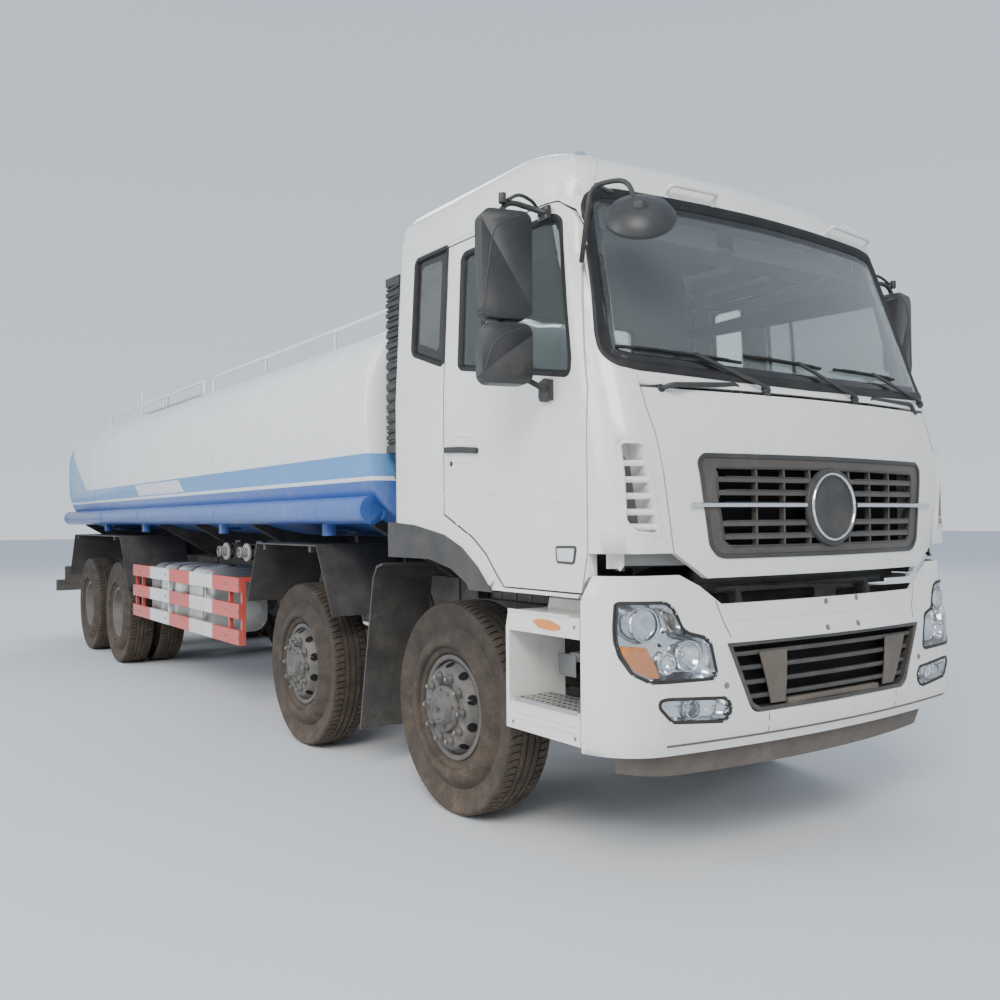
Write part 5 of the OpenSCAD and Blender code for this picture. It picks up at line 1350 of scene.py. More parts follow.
def cushion(low, high, crown, pinch=0.05, channels=(), lean=0.0, hinge=None, divisions=18, face="z"):
    """A crowned closed cushion between two corners in millimetres, its sides drawn in between the corners.
    Channels are (axis, share, depth) grooves sewn into the face that bulges."""
    low, high = at(*low), at(*high)
    middle, half = (low + high) / 2, (high - low) / 2
    shape = Shape()
    bmesh.ops.create_cube(shape.bm, size=2.0)
    bmesh.ops.subdivide_edges(shape.bm, edges=shape.bm.edges[:], cuts=divisions, use_grid_fill=True)
    axis = {"x": 0, "y": 1, "z": 2}[face]
    others = [i for i in range(3) if i != axis]
    for v in shape.bm.verts:
        p = v.co.copy()
        q = p.copy()
        size = (abs(q.x) ** 7 + abs(q.y) ** 7 + abs(q.z) ** 7) ** (1 / 7)
        q = q / size if size > 1e-6 else q
        q = q.lerp(p, 0.12)
        a, b = p[others[0]], p[others[1]]
        for k, other in ((others[0], b), (others[1], a)):
            q[k] *= 1 - pinch * (1 - other ** 2) * (1 - 0.3 * abs(p[axis]))
        bulge = crown / 1000 * (1 - a ** 2) ** 0.7 * (1 - b ** 2) ** 0.7
        place = Vector((q.x * half.x, q.y * half.y, q.z * half.z))
        if p[axis] > 0:
            place[axis] += bulge * p[axis] - crown / 1000 * 0.75
            for along, share, depth in channels:
                t = p[{"x": 0, "y": 1, "z": 2}[along]] - share
                place[axis] -= depth / 1000 * math.exp(-(t / 0.055) ** 2) * p[axis]
        v.co = middle + place
    if lean:
        pivot = at(*hinge)
        bmesh.ops.rotate(shape.bm, cent=pivot, matrix=Matrix.Rotation(math.radians(lean), 3, "Y"), verts=shape.bm.verts)
    return shape


class TANKER_OT_seats(bpy.types.Operator):
    """Upholsters both seats and the bunk with crowned, sewn cushions"""
    bl_idname = "tanker.seats"
    bl_label = "Upholster seats"

    def execute(self, context):
        first = None
        frames = Shape()
        for label, side in SIDES:
            mid = side * 720
            y0, y1 = mid - 240, mid + 240
            parts = (
                ("seat_cushion", (36, y0, 1684), (556, y1, 1806), 26, 0, "z", [("y", -0.55, 9), ("y", 0.55, 9),
                                                                               ("x", 0.15, 7)]),
                ("seat_back", (-30, y0 + 8, 1800), (86, y1 - 8, 2412), 20, -6, "x",
                 [("y", -0.55, 8), ("y", 0.55, 8), ("z", -0.35, 6), ("z", 0.25, 6)]),
                ("head_rest", (-22, mid - 130, 2440), (66, mid + 130, 2612), 14, -6, "x", [("z", -0.5, 4)]))
            for name, low, high, crown, lean, face, channels in parts:
                shape = cushion(low, high, crown, 0.06 if name != "seat_back" else 0.08, channels, lean,
                                (30, 0, 1800), 20, face)
                piece = finish_piece(f"{name}_{label}", shape, "seat_cloth", "cab", 60)
                first = first or piece
            frames.block((80, y0 + 40, 1600), (500, y1 - 40, 1686), 12)
            frames.block((20, y0 - 6, 1690), (330, y0 + 14, 1760), 8)
            frames.block((20, y1 - 14, 1690), (330, y1 + 6, 1760), 8)
            for dy in (-70, 70):
                frames.rod((-12, mid + dy, 2390), (-18, mid + dy, 2460), 6, 12)
        bunk = finish_piece("bunk_mattress", cushion((-436, -1076, 1604), (-96, 1076, 1700), 12, 0.02,
                                                     [("y", -0.33, 5), ("y", 0.33, 5)], divisions=24),
                            "seat_face", "cab", 60)
        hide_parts("seats")
        finish_piece("seat_frames", frames, "cabin_plastic", "cab")
        return {"FINISHED"}


class TANKER_OT_cabin(bpy.types.Operator):
    """Details the dashboard with vents and a pad, and adds the sun visors and a roof shelf"""
    bl_idname = "tanker.cabin"
    bl_label = "Detail cabin"

    def execute(self, context):
        low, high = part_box("dashboard")
        x0, x1 = ((v - FRONT_AXLE) * 1000 for v in (low[0], high[0]))
        skin = Skin("dashboard")
        vents, pads = Shape(), Shape()
        for y in (-860, -420, -60, 260):
            for k in range(5):
                p, n = skin.drop("top", x0 + 90 + 16 * k, y, 0)
                vents.sweep([p + Vector((0, -0.07, 0.002)), p + Vector((0, 0.07, 0.002))],
                            [(-5, -2), (-4, 3), (4, 3), (5, -2)], [n, n])
        pad = [(x0 + 210, -960), (x1 - 120, -900), (x1 - 120, 900), (x0 + 210, 960)]
        pads.patch(skin, "top", stepped(pad, 60, True), 2, 4, rings=5)
        finish_piece("dashboard_vents", vents, "trim_black", "cab")
        finish_piece("dashboard_pad", pads, "cabin_grey", "cab")
        visor = Shape()
        for y0, y1 in ((-1000, -60), (60, 1000)):
            visor.block((880, y0, 2900), (902, y1, 3010), 8)
        finish_piece("sun_visors", visor, "cabin_grey", "cab")
        shelf = Shape()
        shelf.block((600, -960, 2935), (860, 960, 2955), 8)
        finish_piece("roof_shelf", shelf, "cabin_grey", "cab")
        return {"FINISHED"}


class TANKER_OT_mirrors(bpy.types.Operator):
    """Fits the mirror glass, housing lips, bracket feet and the small look-down mirror"""
    bl_idname = "tanker.mirrors"
    bl_label = "Fit mirrors"

    def execute(self, context):
        for label, side in SIDES:
            body = f"door_{label}"
            turn = Matrix.Rotation(math.radians(-76 * side), 3, "Z")
            centre = at(960, 1440 * side, 0)
            place = lambda x, y, z: centre + turn @ Vector((x / 1000, y * side / 1000, z / 1000))
            y_face = -60 if (turn @ Vector((0, -side, 0))).x < 0 else 30
            way = -1 if y_face < 0 else 1
            glass, lips, seams = Shape(), Shape(), Shape()
            for z0, z1 in ((2395, 2860), (2115, 2375)):
                outline = rounded([(-103, z0 + 12), (103, z0 + 12), (103, z1 - 12), (-103, z1 - 12)], 36, True)
                glass.stack([[place(p.x, y_face + way * d, p.y) for p in run]
                             for run, d in ((outline, -3), (outline, 0.6), (grown(outline, -3), 1.2))])
                ring = [[place(p.x, y_face + way * d, p.y) for p in grown(outline, g)]
                        for g, d in ((0, -1), (0, 2.5), (2.5, 3.2), (4.5, 0), (4.5, -1))]
                lips.stack(ring, joined=True)
                line = rounded([(-108, z0 + 45), (-60, z1 - 70), (60, z1 - 20)], 60)
                front = 30 if y_face < 0 else -60
                places = [place(p.x, front, p.y) for p in stepped(line, 30)]
                out = turn @ Vector((0, -way * side, 0))
                seams.sweep(places, [(-4, -1), (-2, 2), (2, 2), (4, -1)], [out] * len(places))
            finish_piece(f"mirror_glass_{label}", glass, "mirror_face", body)
            finish_piece(f"mirror_lips_{label}", lips, "trim_black", body, 45)
            finish_piece(f"mirror_folds_{label}", seams, "trim_black", body, 60)
            arms = Shape()
            s = side
            arms.tube([(925, s * 1400, 2925), (905, s * 1320, 2975), (880, s * 1220, 2960), (880, s * 1188, 2905)],
                      8, 45, 12)
            arms.rod((928, s * 1428, 2905), (928, s * 1428, 2950), 17, 16, 3)
            arms.rod((930, s * 1440, 2385), (930, s * 1440, 2388), 20, 16, 1)
            shield = [(905, 2070), (940, 2052), (985, 2068), (992, 2140), (950, 2162), (908, 2140)]
            door = Skin(body)
            arms.patch(door, label, stepped(rounded(shield, 14, True), 12, True), 22, 20, rings=3)
            finish_piece(f"mirror_brackets_{label}", arms, "trim_black", body)
            fasteners(f"mirror_bolts_{label}", [(at(u, s * 1188, v), Vector((0, s, 0))) for u, v in
                                               ((874, 2893), (874, 2927), (927, 2893), (927, 2927))],
                      6, 5, "worn_steel", body)
        dish = Shape()
        spin = (Matrix.Rotation(math.radians(41), 3, "Y") @ Matrix.Rotation(math.radians(29), 3, "X"))
        axis = spin @ Vector((0, 0, 1))
        spot = at(1385, -1050, 2780)
        dish.turned([(-1.2, 0), (-1.2, 138), (0.5, 141), (0.5, 0)], spot, axis, 48)
        finish_piece("front_mirror_glass", dish, "mirror_face", "cab")
        lip = Shape()
        lip.turned([(-3, 141), (-4, 146), (0, 151), (13, 151), (13, 147), (1, 143)], spot, axis, 48, closed=True)
        neck = spot + axis * 0.07
        lip.turned([(-6, 34), (4, 34), (10, 28), (18, 22), (24, 14), (25, 0)], neck, axis, 24)
        finish_piece("front_mirror_rim", lip, "trim_black", "cab")
        feet = Shape()
        shell = Skin("cab_shell", "cab_roof")
        long_foot = [(-1178, 2600), (-1148, 2596), (-1146, 2690), (-1172, 2694)]
        feet.patch(shell, "front", stepped(rounded(long_foot, 10, True), 12, True), 9, 8, rings=3)
        plate = [(-985, 2972), (-925, 2980), (-925, 3012), (-985, 3006)]
        feet.patch(shell, "front", stepped(rounded(plate, 8, True), 12, True), 8, 8, rings=3)
        finish_piece("front_mirror_feet", feet, "trim_black", "cab")
        spots = [shell.drop("front", y, z, 7) for y, z in ((-970, 2990), (-940, 2994), (-1162, 2612), (-1160, 2680))]
        fasteners("front_mirror_bolts", spots, 6, 5, "worn_steel", "cab")
        return {"FINISHED"}


# ---------- steps, guards, tank ----------

class TANKER_OT_steps(bpy.types.Operator):
    """Fits the entry steps: tread plates, blank plate, lid, sill strips and edge lips"""
    bl_idname = "tanker.steps"
    bl_label = "Fit steps"

    def execute(self, context):
        for label, side in SIDES:
            s = side
            tread, lips, plate, lid, ring = Shape(), Shape(), Shape(), Shape(), Shape()
            y0, y1 = sorted((s * 1000, s * 1212))
            tread.block((684, y0, 715), (1158, y1, 721), 2)
            nose = [at(690, s * 1212, 712), at(1154, s * 1212, 712)]
            tread.sweep(nose, [(12 * math.cos(a), 9 * math.sin(a)) for a in (2 * math.pi * k / 14 for k in range(14))],
                        [Vector((0, s, 0))] * 2)
            finish_piece(f"step_tread_{label}", tread, "tread_plate", "chassis")
            # painted shade: the tread plate's perforations are rows of near-black discs, not cut holes
            for row, dy in enumerate((1035, 1085, 1135, 1185)):
                copy = Shape().turned([(0, 9.5), (1.0, 9.5), (1.0, 0)], Vector((0, 0, 0)), (0, 0, 1), 12)
                repeated(f"step_holes_{row}_{label}", copy, 12 if row % 2 else 11, "shadow_gap", "chassis",
                         start=at(712 if row % 2 else 731, s * dy, 720.4), step=(0.038, 0, 0))
            a, b = sorted((s * 962, s * 966))
            plate.block((700, a, 800), (830, b, 905), 2)
            finish_piece(f"step_blank_plate_{label}", plate, "blank_plate", "chassis")
            lid.block((900, a, 788), (1040, b, 960), 3)
            finish_piece(f"step_lid_{label}", lid, "cab_white", "chassis")
            # painted shade: the lid's hole is a near-black ring and disc laid on the lid, not cut
            ring.turned([(0, 24), (4, 24), (5, 20), (4, 16), (0, 16)], at(970, s * 965, 895), (0, s, 0), 28,
                        closed=True)
            ring.turned([(0, 16), (1, 16), (1, 0)], at(970, s * 966, 895), (0, s, 0), 24)
            finish_piece(f"step_lid_hole_{label}", ring, "shadow_gap", "chassis")
            lips.sweep([at(690, s * 1232, 636), at(1172, s * 1232, 636)],
                       [(-8, -2), (-5, 2.0), (5, 2.0), (8, -2)], [Vector((0, s, 0))] * 2)
            lips.sweep([at(690, s * 1232, 664), at(1172, s * 1232, 664)],
                       [(-8, -2), (-5, 2.0), (5, 2.0), (8, -2)], [Vector((0, s, 0))] * 2)
            finish_piece(f"step_box_folds_{label}", lips, "cab_white", "chassis", 60)
            bolts = [(at(x, s * 1231.5, z), Vector((0, s, 0))) for x, z in ((700, 612), (1150, 612), (1150, 1080))]
            fasteners(f"step_bolts_{label}", bolts, 7, 3, "worn_steel", "chassis")
            sill = Skin("cab_shell", f"door_{label}", "cab_steps")
            strip = Shape()
            for z, w in ((1196, 15),):
                strip.ridge(sill, label, [(660, z), (1120, z + 2)], w, 3, 0, 50)
            finish_piece(f"sill_strip_{label}", strip, "white_lens", "cab", 60)
            leaf = [(856, 1084), (900, 1098), (980, 1098), (1052, 1080), (1060, 1062), (1000, 1052), (900, 1058)]
            lamp = Shape().patch(Skin("cab_steps"), label, stepped(rounded(leaf, 10, True), 14, True), 2.5, 4, rings=3)
            finish_piece(f"sill_lamp_{label}", lamp, "amber_lens", "chassis")
        return {"FINISHED"}


class TANKER_OT_guards(bpy.types.Operator):
    """Adds the rolled edges, grooves and bolts of the side guards"""
    bl_idname = "tanker.guards"
    bl_label = "Fit side guards"

    def execute(self, context):
        edges, grooves, spots = Shape(), Shape(), {1: [], -1: []}
        for side in (-1, 1):
            s = side
            for z in (575, 780, 985):
                for dz in (5, 110):
                    edges.sweep([at(-6198, s * 1209, z + dz), at(-3002, s * 1209, z + dz)],
                                [(-5, -3), (-4, 2.0), (4, 2.0), (5, -3)], [Vector((0, s, 0))] * 2)
                for dz in (36, 57.5, 79):
                    grooves.sweep([at(-6196, s * 1209.2, z + dz), at(-3004, s * 1209.2, z + dz)],
                                  [(-4, -3), (-3, 1.2), (3, 1.2), (4, -3)], [Vector((0, s, 0))] * 2)
                for x in (-6185, -5940, -5000, -3300, -3015):
                    spots[s].append((at(x, s * 1211, z + 57.5), Vector((0, s, 0))))
        finish_piece("guard_edges", edges, "guard_bands", "chassis", 60)
        finish_piece("guard_grooves", grooves, "guard_bands", "chassis", 60)
        fasteners("guard_bolts", spots[-1] + spots[1], 9, 6, "worn_steel", "chassis")
        return {"FINISHED"}


HOSE_TUBE = (1150, 1602)  # sideways place and height of a hose tube's middle
MANHOLES = (("front", -3100), ("rear", -8000))
LID_BOLT_RADIUS = 236


class TANKER_OT_tank(bpy.types.Operator):
    """Adds weld seams, manhole lid bolts, rings and collar beads, walkway edges and treads, hose tube rings and end
    caps
    """
    bl_idname = "tanker.tank"
    bl_label = "Fit tank"

    def execute(self, context):
        low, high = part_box("water_tank")
        x0, x1 = ((v - FRONT_AXLE) * 1000 for v in (low[0], high[0]))
        mid_z, half_h, half_w = 2124.0, 714.0, 1225.0
        def ring_at(x, grow):
            loop = []
            for k in range(96):
                a = 2 * math.pi * k / 96
                c, q = math.cos(a), math.sin(a)
                loop.append(at(x, (half_w + grow) * math.copysign(abs(c) ** 0.625, c),
                               mid_z + (half_h + grow) * math.copysign(abs(q) ** 0.625, q)))
            return loop
        welds = Shape()
        seams = [x0 + 72, x1 - 72] + [x0 + 72 + (x1 - x0 - 144) * k / 6 for k in range(1, 6)]
        for x in seams:
            wide = 9 if x in seams[:2] else 5
            welds.stack([ring_at(x - wide, -3), ring_at(x - wide * 0.6, 0.6), ring_at(x, 1.2),
                         ring_at(x + wide * 0.6, 0.6), ring_at(x + wide, -3)], joined=True)
        finish_piece("tank_weld_seams", welds, "tank_white", "chassis", 80)
        rings, caps = Shape(), Shape()
        hose_low, hose_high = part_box("hose_tubes")
        h0, h1 = ((v - FRONT_AXLE) * 1000 for v in (hose_low[0], hose_high[0]))
        for side in (-1, 1):
            y, z = side * HOSE_TUBE[0], HOSE_TUBE[1]
            for x in (-7640, -5980, -3560, -1500, h0 + 30, h1 - 30):
                rings.turned([(-9, 85), (-8, 88), (8, 88), (9, 85)], at(x, y, z), (1, 0, 0), 40)
            for x, way in ((h0, -1), (h1, 1)):
                caps.turned([(-16, 80), (-15, 84.5), (-3, 84.5), (-0.6, 79), (-0.6, 0)], at(x, y, z), (way, 0, 0), 40)
                caps.turned([(-1, 30), (-0.2, 30), (-0.2, 0)], at(x, y, z), (way, 0, 0), 24)
        finish_piece("hose_tube_rings", rings, "hose_blue", "chassis", 40)
        finish_piece("hose_tube_caps", caps, "hose_blue", "chassis", 40)
        up = Vector((0, 0, 1))
        for place, x in MANHOLES:
            spots = [(at(x + LID_BOLT_RADIUS * math.cos(a), LID_BOLT_RADIUS * math.sin(a), 2924.5), up)
                     for a in (2 * math.pi * (k + 0.5) / 16 for k in range(16))]
            fasteners(f"{place}_lid_bolts", spots, 9, 9, "worn_steel", f"{place}_manhole_lid")
            dial = Shape().turned([(0, 92), (1.5, 92), (1.5, 84), (0, 84)], at(x, 0, 2937.8), up, 40, closed=True)
            finish_piece(f"{place}_lid_ring", dial, "worn_steel", f"{place}_manhole_lid")
            bead = Shape().turned([(-2, 249), (-2, 253), (3, 254), (5, 250), (3, 247)], at(x, 0, 2905), up, 64,
                                  closed=True)
            finish_piece(f"{place}_collar_bead", bead, "plain_white", "chassis")
        skin = Skin("water_tank")
        walk = Shape()
        for side in (-1, 1):
            for y in (420, 640):
                walk.ridge(skin, "top", [(x, side * y) for x in (-9200, -5300)], 26, 5, 0, 300)
                walk.ridge(skin, "top", [(x, side * y) for x in (-5200, -1000)], 26, 5, 0, 300)
        finish_piece("walkway_strips", walk, "plain_white", "chassis", 60)
        cross = Shape()
        cross.sweep([Vector((0, -0.21, 0)), Vector((0, 0.21, 0))], [(-14, 0), (-12, 3), (12, 3), (14, 0)],
                    [Vector((0, 0, 1))] * 2)
        repeated("walkway_treads", cross, 30, "tread_plate", "chassis",
                 start=at(-7550, -530, 2834.5), step=(0.07, 0, 0))
        return {"FINISHED"}


class TANKER_OT_equipment(bpy.types.Operator):
    """Dresses the fuel tank, air tanks, battery box, pump, valves, mudguards and rear beam"""
    bl_idname = "tanker.equipment"
    bl_label = "Dress equipment"

    def execute(self, context):
        straps, ends, cap = Shape(), Shape(), Shape()
        outline = [(-1135, 545), (-535, 545), (-535, 1130), (-1135, 1130)]
        for x in (-5400, -4950, -4500):
            for dx in (-22, 22):
                run = [at(x + dx, p.x, p.y) for p in rounded(grown(outline, 6), 136, True, 8)]
                straps.sweep(run, [(-3, -2), (-2, 1.5), (2, 1.5), (3, -2)],
                             [(p - at(x + dx, -835, 837)).normalized() for p in run], closed=True)
            straps.rod((x, -1149, 760), (x, -1149, 900), 6, 12)
        finish_piece("fuel_tank_strap_edges", straps, "seal_rubber", "chassis", 60)
        for x, way in ((-5750, -1), (-4150, 1)):
            for inset, lift in ((-14, 0.2), (-40, 0.2)):
                run = [at(x + way * lift, p.x, p.y) for p in rounded(grown(outline, inset), 118, True, 8)]
                ends.sweep(run, [(-3, -3), (-2, 1.0), (2, 1.0), (3, -3)], [Vector((way, 0, 0))] * len(run),
                           closed=True)
        finish_piece("fuel_tank_end_beads", ends, "tank_metal", "chassis", 60)
        cap.turned([(-2, 58), (0, 64), (14, 64), (18, 58), (18, 0)], at(-4300, -850, 1132), (0, 0, 1), 32)
        finish_piece("fuel_cap", cap, "trim_black", "chassis")
        grips = Shape()
        for k in range(18):
            a = 2 * math.pi * k / 18
            grips.rod((-4300 + 62 * math.cos(a), -850 + 62 * math.sin(a), 1134),
                      (-4300 + 62 * math.cos(a), -850 + 62 * math.sin(a), 1146), 4.5, 6)
        finish_piece("fuel_cap_grips", grips, "trim_black", "chassis")
        valves, flanges, wheels, spots = Shape(), Shape(), Shape(), []
        for x in (-3860, -3360):
            flanges.turned([(-1, 40), (-1, 71), (2, 73), (19, 73), (22, 71), (22, 40)], at(x, -1001, 1285), (0, -1, 0),
                           40, closed=True)
            flanges.turned([(-2, 36), (-2, 44), (6, 45), (8, 44), (8, 36)], at(x, -1076, 1285), (0, -1, 0), 32,
                           closed=True)
            for k in range(3):
                flanges.turned([(-3, 40), (0, 44.5), (3, 40)], at(x, -1030 - 14 * k, 1285), (0, -1, 0), 32)
            valves.turned([(-1, 62), (0, 66), (78, 66), (80, 60), (80, 38), (-1, 38)], at(x, -880, 1285), (0, -1, 0),
                          36, closed=True)
            valves.turned([(0, 20), (30, 18), (44, 12), (70, 12), (70, 0)], at(x, -920, 1305), (0, 0, 1), 20)
            wheels.rod((x - 10, -920, 1366), (x + 88, -920, 1372), 6, 10, 2)
            wheels.rod((x + 80, -920, 1371), (x + 92, -920, 1372), 9, 12, 3)
            for k in range(6):
                a = math.pi * (k + 0.5) / 3
                spots.append((at(x + 58 * math.cos(a), -1021, 1285 + 58 * math.sin(a)), Vector((0, -1, 0))))
        finish_piece("outlet_flanges", flanges, "flange_pale", "chassis", 40)
        finish_piece("outlet_valves", valves, "cast_iron", "chassis", 40)
        finish_piece("valve_levers", wheels, "hose_blue", "chassis")
        fasteners("outlet_flange_bolts", spots, 7, 6, "worn_steel", "chassis")
        casing, bolts = Shape(), []
        casing.turned([(-6, 150), (-4, 158), (22, 158), (26, 150), (26, 0)], at(-3652, -640, 1230), (-1, 0, 0), 40)
        casing.turned([(0, 120), (10, 116), (14, 60), (30, 56), (30, 0)], at(-3420, -640, 1230), (1, 0, 0), 40)
        for k in range(10):
            a = 2 * math.pi * k / 10
            bolts.append((at(-3678, -640 + 138 * math.cos(a), 1230 + 138 * math.sin(a)), Vector((-1, 0, 0))))
        finish_piece("pump_casing_rings", casing, "cast_iron", "chassis")
        fasteners("pump_bolts", bolts, 8, 7, "worn_steel", "chassis")
        beads = Shape()
        for y, z in ((620, 700), (900, 700), (760, 930)):
            for x, way in ((-5600, -1), (-4500, 1)):
                beads.turned([(-22, 124), (-20, 126.5), (-14, 126.5), (-12, 124)], at(x, y, z), (way, 0, 0), 36)
                beads.turned([(-2, 26), (-0.5, 24), (-0.5, 0)], at(x, y, z), (way, 0, 0), 20)
        finish_piece("air_tank_beads", beads, "frame_black", "chassis")
        box = Shape()
        for k in range(5):
            box.block((-3880 + 150 * k, 1118, 600), (-3800 + 150 * k, 1124, 980), 2.5)
        box.block((-3560, 1122, 1000), (-3490, 1129, 1036), 3)
        finish_piece("battery_box_ribs", box, "trim_black", "chassis")
        ribs = Shape()
        for side in (-1, 1):
            for a, b, x0, x1, top in ((640, 1200, -2640, -1560, 1380), (560, 1240, -8990, -6650, 1392)):
                for y in (b - 1, a + 1):
                    ribs.sweep([at(x0, side * y, top - 4), at(x1, side * y, top - 4)],
                               [(-4, -6), (-4, 3), (4, 3), (4, -6)], [Vector((0, 0, 1))] * 2)
                for x in [x0 + (x1 - x0) * k / 6 for k in range(1, 6)]:
                    ribs.sweep([at(x, side * (a + 8), top - 1), at(x, side * (b - 8), top - 1)],
                               [(-16, -2), (-10, 2.5), (10, 2.5), (16, -2)], [Vector((0, 0, 1))] * 2)
        finish_piece("mudguard_ribs", ribs, "trim_black", "chassis", 60)
        rear = (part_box("rear_beam")[0][0] - FRONT_AXLE) * 1000
        plate, bands = Shape(), Shape()
        plate.block((rear + 0.5, -230, 640), (rear + 4, 230, 730), 1.5)
        finish_piece("rear_blank_plate", plate, "blank_plate", "chassis")
        for k in range(12):
            if 3 < k < 8:
                continue
            y0 = -1224 + 204 * k
            bands.block((rear + 0.5, y0 + 6, 655), (rear + 3, y0 + 100, 700), 1)
        finish_piece("rear_red_strips", bands, "red_lens", "chassis")
        plates = Shape()
        for k in range(12):
            if 3 < k < 8:
                continue
            y0 = -1224 + 204 * k
            plates.block((rear + 0.5, y0 + 102, 655), (rear + 3, y0 + 196, 700), 1)
        finish_piece("rear_white_strips", plates, "white_lens", "chassis")
        rungs = []
        for y in (-560, 580):
            for z in (880, 940):
                rungs.append((at(rear + 20, 410 if y > 0 else -410, z - 60), Vector((-1, 0, 0))))
        fasteners("rear_beam_bolts", rungs, 10, 7, "worn_steel", "chassis")
        return {"FINISHED"}


class TANKER_OT_underside(bpy.types.Operator):
    """Adds rail bolts, spring clips, brake chambers, hoses on the frame, engine ribs and the intake's louvres and
    bellows
    """
    bl_idname = "tanker.underside"
    bl_label = "Dress underside"

    def execute(self, context):
        spots = []
        for side in (-1, 1):
            for x in range(-9300, 1200, 300):
                for z in (805, 995):
                    spots.append((at(x, side * 430, z), Vector((0, side, 0))))
        fasteners("rail_rivets", spots, 9, 6, "frame_black", "chassis", sides=8)
        clips, chambers = Shape(), Shape()
        for side in (-1, 1):
            y = side * 400
            for x in (0, -1950):
                for dx in (-90, 90):
                    for dy in (-52, 52):
                        clips.rod((x + dx, y + dy, 590), (x + dx, y + dy, 712), 9, 10)
                    clips.block((x + dx - 12, y - 62, 694), (x + dx + 12, y + 62, 706), 3)
                clips.block((x - 110, y - 62, 592), (x + 110, y + 62, 606), 4)
                chambers.rod((x - 190, side * 560, 500), (x - 90, side * 560, 500), 68, 28, 12)
                chambers.rod((x - 90, side * 560, 500), (x - 40, side * 560, 500), 12, 12)
            for x in (-6850, -8250):
                chambers.rod((x + 150, side * 520, 500), (x + 330, side * 520, 500), 74, 28, 14)
                chambers.rod((x + 216, side * 520, 500), (x + 226, side * 520, 500), 80, 28, 2)
                for dx in (-60, 60):
                    clips.rod((x + dx, side * 470, 470), (x + dx, side * 470, 640), 10, 10)
        finish_piece("spring_clips", clips, "frame_black", "chassis")
        finish_piece("brake_chambers", chambers, "cast_iron", "chassis")
        pipes = Shape()
        for y, z in ((392, 900), (378, 925), (-392, 905)):
            pipes.tube([(-9000, y, z), (-6000, y, z + 6), (-3000, y, z - 4), (900, y, z)], 7, 0, 8)
        finish_piece("brake_pipes", pipes, "seal_rubber", "chassis")
        ribs = Shape()
        for k in range(9):
            x = -880 + 160 * k
            for side in (-1, 1):
                a, b = sorted((side * 328, side * 338))
                ribs.block((x, a, 740), (x + 40, b, 1140), 3)
        ribs.block((-700, -250, 1178), (300, 250, 1184), 3)
        ribs.block((-860, -240, 640), (420, 240, 697), 20)
        finish_piece("engine_ribs", ribs, "cast_iron", "chassis")
        louvres = Shape()
        for k in range(30):
            z = 1990 + 31 * k
            for side in (-1,):
                louvres.sweep([at(-722, -1118, z), at(-566, -1118, z + 14)],
                              [(-3, -6), (-9, 1.5), (-2, 1.5), (5, -6)], [Vector((0, -1, 0))] * 2)
        finish_piece("intake_louvres", louvres, "trim_black", "cab", 60)
        bellow = Shape()
        for k in range(9):
            bellow.turned([(-6, 68), (0, 81), (6, 68)], at(-640, -1025, 1790 + 18 * k), (0, 0, 1), 32)
        finish_piece("intake_bellows", bellow, "seal_rubber", "cab", 60)
        return {"FINISHED"}


# ---------- stage ----------

FLOOR_REACH = 90  # metres from the middle to each edge


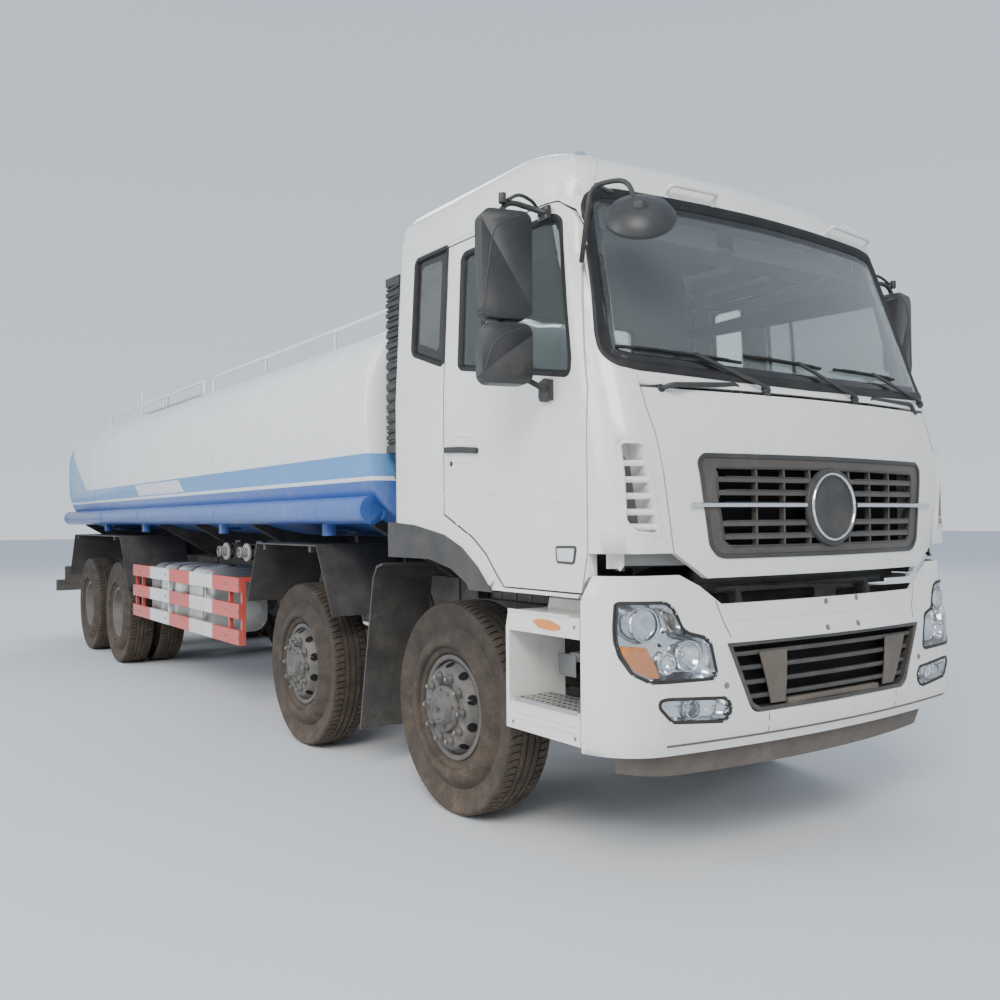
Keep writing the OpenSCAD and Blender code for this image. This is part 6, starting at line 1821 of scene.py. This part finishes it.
class TANKER_OT_stage(bpy.types.Operator):
    """Lays the pale floor and sets soft lights and the camera"""
    bl_idname = "tanker.stage"
    bl_label = "Set stage"

    def execute(self, context):
        mesh = bpy.data.meshes.new("floor")
        mesh.from_pydata([(-FLOOR_REACH, -FLOOR_REACH, 0), (FLOOR_REACH, -FLOOR_REACH, 0),
                          (FLOOR_REACH, FLOOR_REACH, 0), (-FLOOR_REACH, FLOOR_REACH, 0)], [], [(0, 1, 2, 3)])
        mesh.materials.append(finishes["floor_pale"])
        floor = bpy.data.objects.new("floor", mesh)
        context.scene.collection.objects.link(floor)
        world = bpy.data.worlds.new("studio_air")
        world.use_nodes = True
        context.scene.world = world
        g = Graph(world.node_tree)
        height = g.axes(g.add("ShaderNodeTexCoord", out=0))[2]
        sky = g.blend(g.span(height, -0.1, 0.7), (0.80, 0.84, 0.88), (0.50, 0.60, 0.74))
        background = world.node_tree.nodes["Background"]
        g.put(background.inputs["Color"], sky)
        background.inputs["Strength"].default_value = 1.15
        for name, place, aim, size, power, colour in (
                ("key_light", (17, -13, 14), (6, 0, 1.6), 9, 3600, (1.0, 0.965, 0.92)),
                ("side_light", (0, -19, 9), (0, 0, 1.6), 12, 2100, (0.93, 0.97, 1.0)),
                ("back_light", (-16, 12, 12), (0, 0, 2), 10, 1500, (1, 1, 1))):
            data = bpy.data.lights.new(name, "AREA")
            data.shape, data.size, data.energy, data.color = "SQUARE", size, power, colour
            light = bpy.data.objects.new(name, data)
            light.location = place
            light.rotation_euler = (Vector(aim) - Vector(place)).to_track_quat("-Z", "Y").to_euler()
            context.scene.collection.objects.link(light)
        data = bpy.data.cameras.new("viewpoint")
        data.sensor_width, data.lens, data.clip_end = 36.0, 34.81, 200.0
        camera = bpy.data.objects.new("viewpoint", data)
        right, up = Vector((0.56812052, 0.82290475, -0.00817567)), Vector((0.02117293, -0.00468466, 0.99976485))
        back = Vector((0.82267295, -0.56816003, -0.02008476))
        stand = at(4337.0, -3807.3, 1537.9)
        camera.matrix_world = Matrix((right, up, back)).transposed().to_4x4()
        camera.matrix_world.translation = stand
        context.scene.collection.objects.link(camera)
        context.scene.camera = camera
        return {"FINISHED"}


STEPS = tuple(kind for kind in bpy.types.Operator.__subclasses__() if kind.__name__.startswith("TANKER_OT_"))


class TANKER_PT_builder(bpy.types.Panel):
    """Lists the steps that dress the truck, with their settings"""
    bl_idname = "TANKER_PT_builder"
    bl_label = "Tanker truck"
    bl_space_type = "VIEW_3D"
    bl_region_type = "UI"
    bl_category = "Tanker"

    def draw(self, context):
        layout = self.layout
        for group in (context.scene.tanker_paint, context.scene.tanker_sizes):
            box = layout.box()
            for key in group.bl_rna.properties.keys():
                if key not in ("rna_type", "name"):
                    box.prop(group, key)
        for step in STEPS:
            layout.operator(step.bl_idname)


def register():
    for kind in (TankerPaint, TankerSizes, *STEPS, TANKER_PT_builder):
        bpy.utils.register_class(kind)
    bpy.types.Scene.tanker_paint = bpy.props.PointerProperty(type=TankerPaint)
    bpy.types.Scene.tanker_sizes = bpy.props.PointerProperty(type=TankerSizes)


def unregister():
    del bpy.types.Scene.tanker_paint
    del bpy.types.Scene.tanker_sizes
    for kind in reversed((TankerPaint, TankerSizes, *STEPS, TANKER_PT_builder)):
        bpy.utils.unregister_class(kind)


def main():
    register()
    for step in STEPS:
        group, name = step.bl_idname.split(".")
        getattr(getattr(bpy.ops, group), name)()


if __name__ == "__main__":
    main()
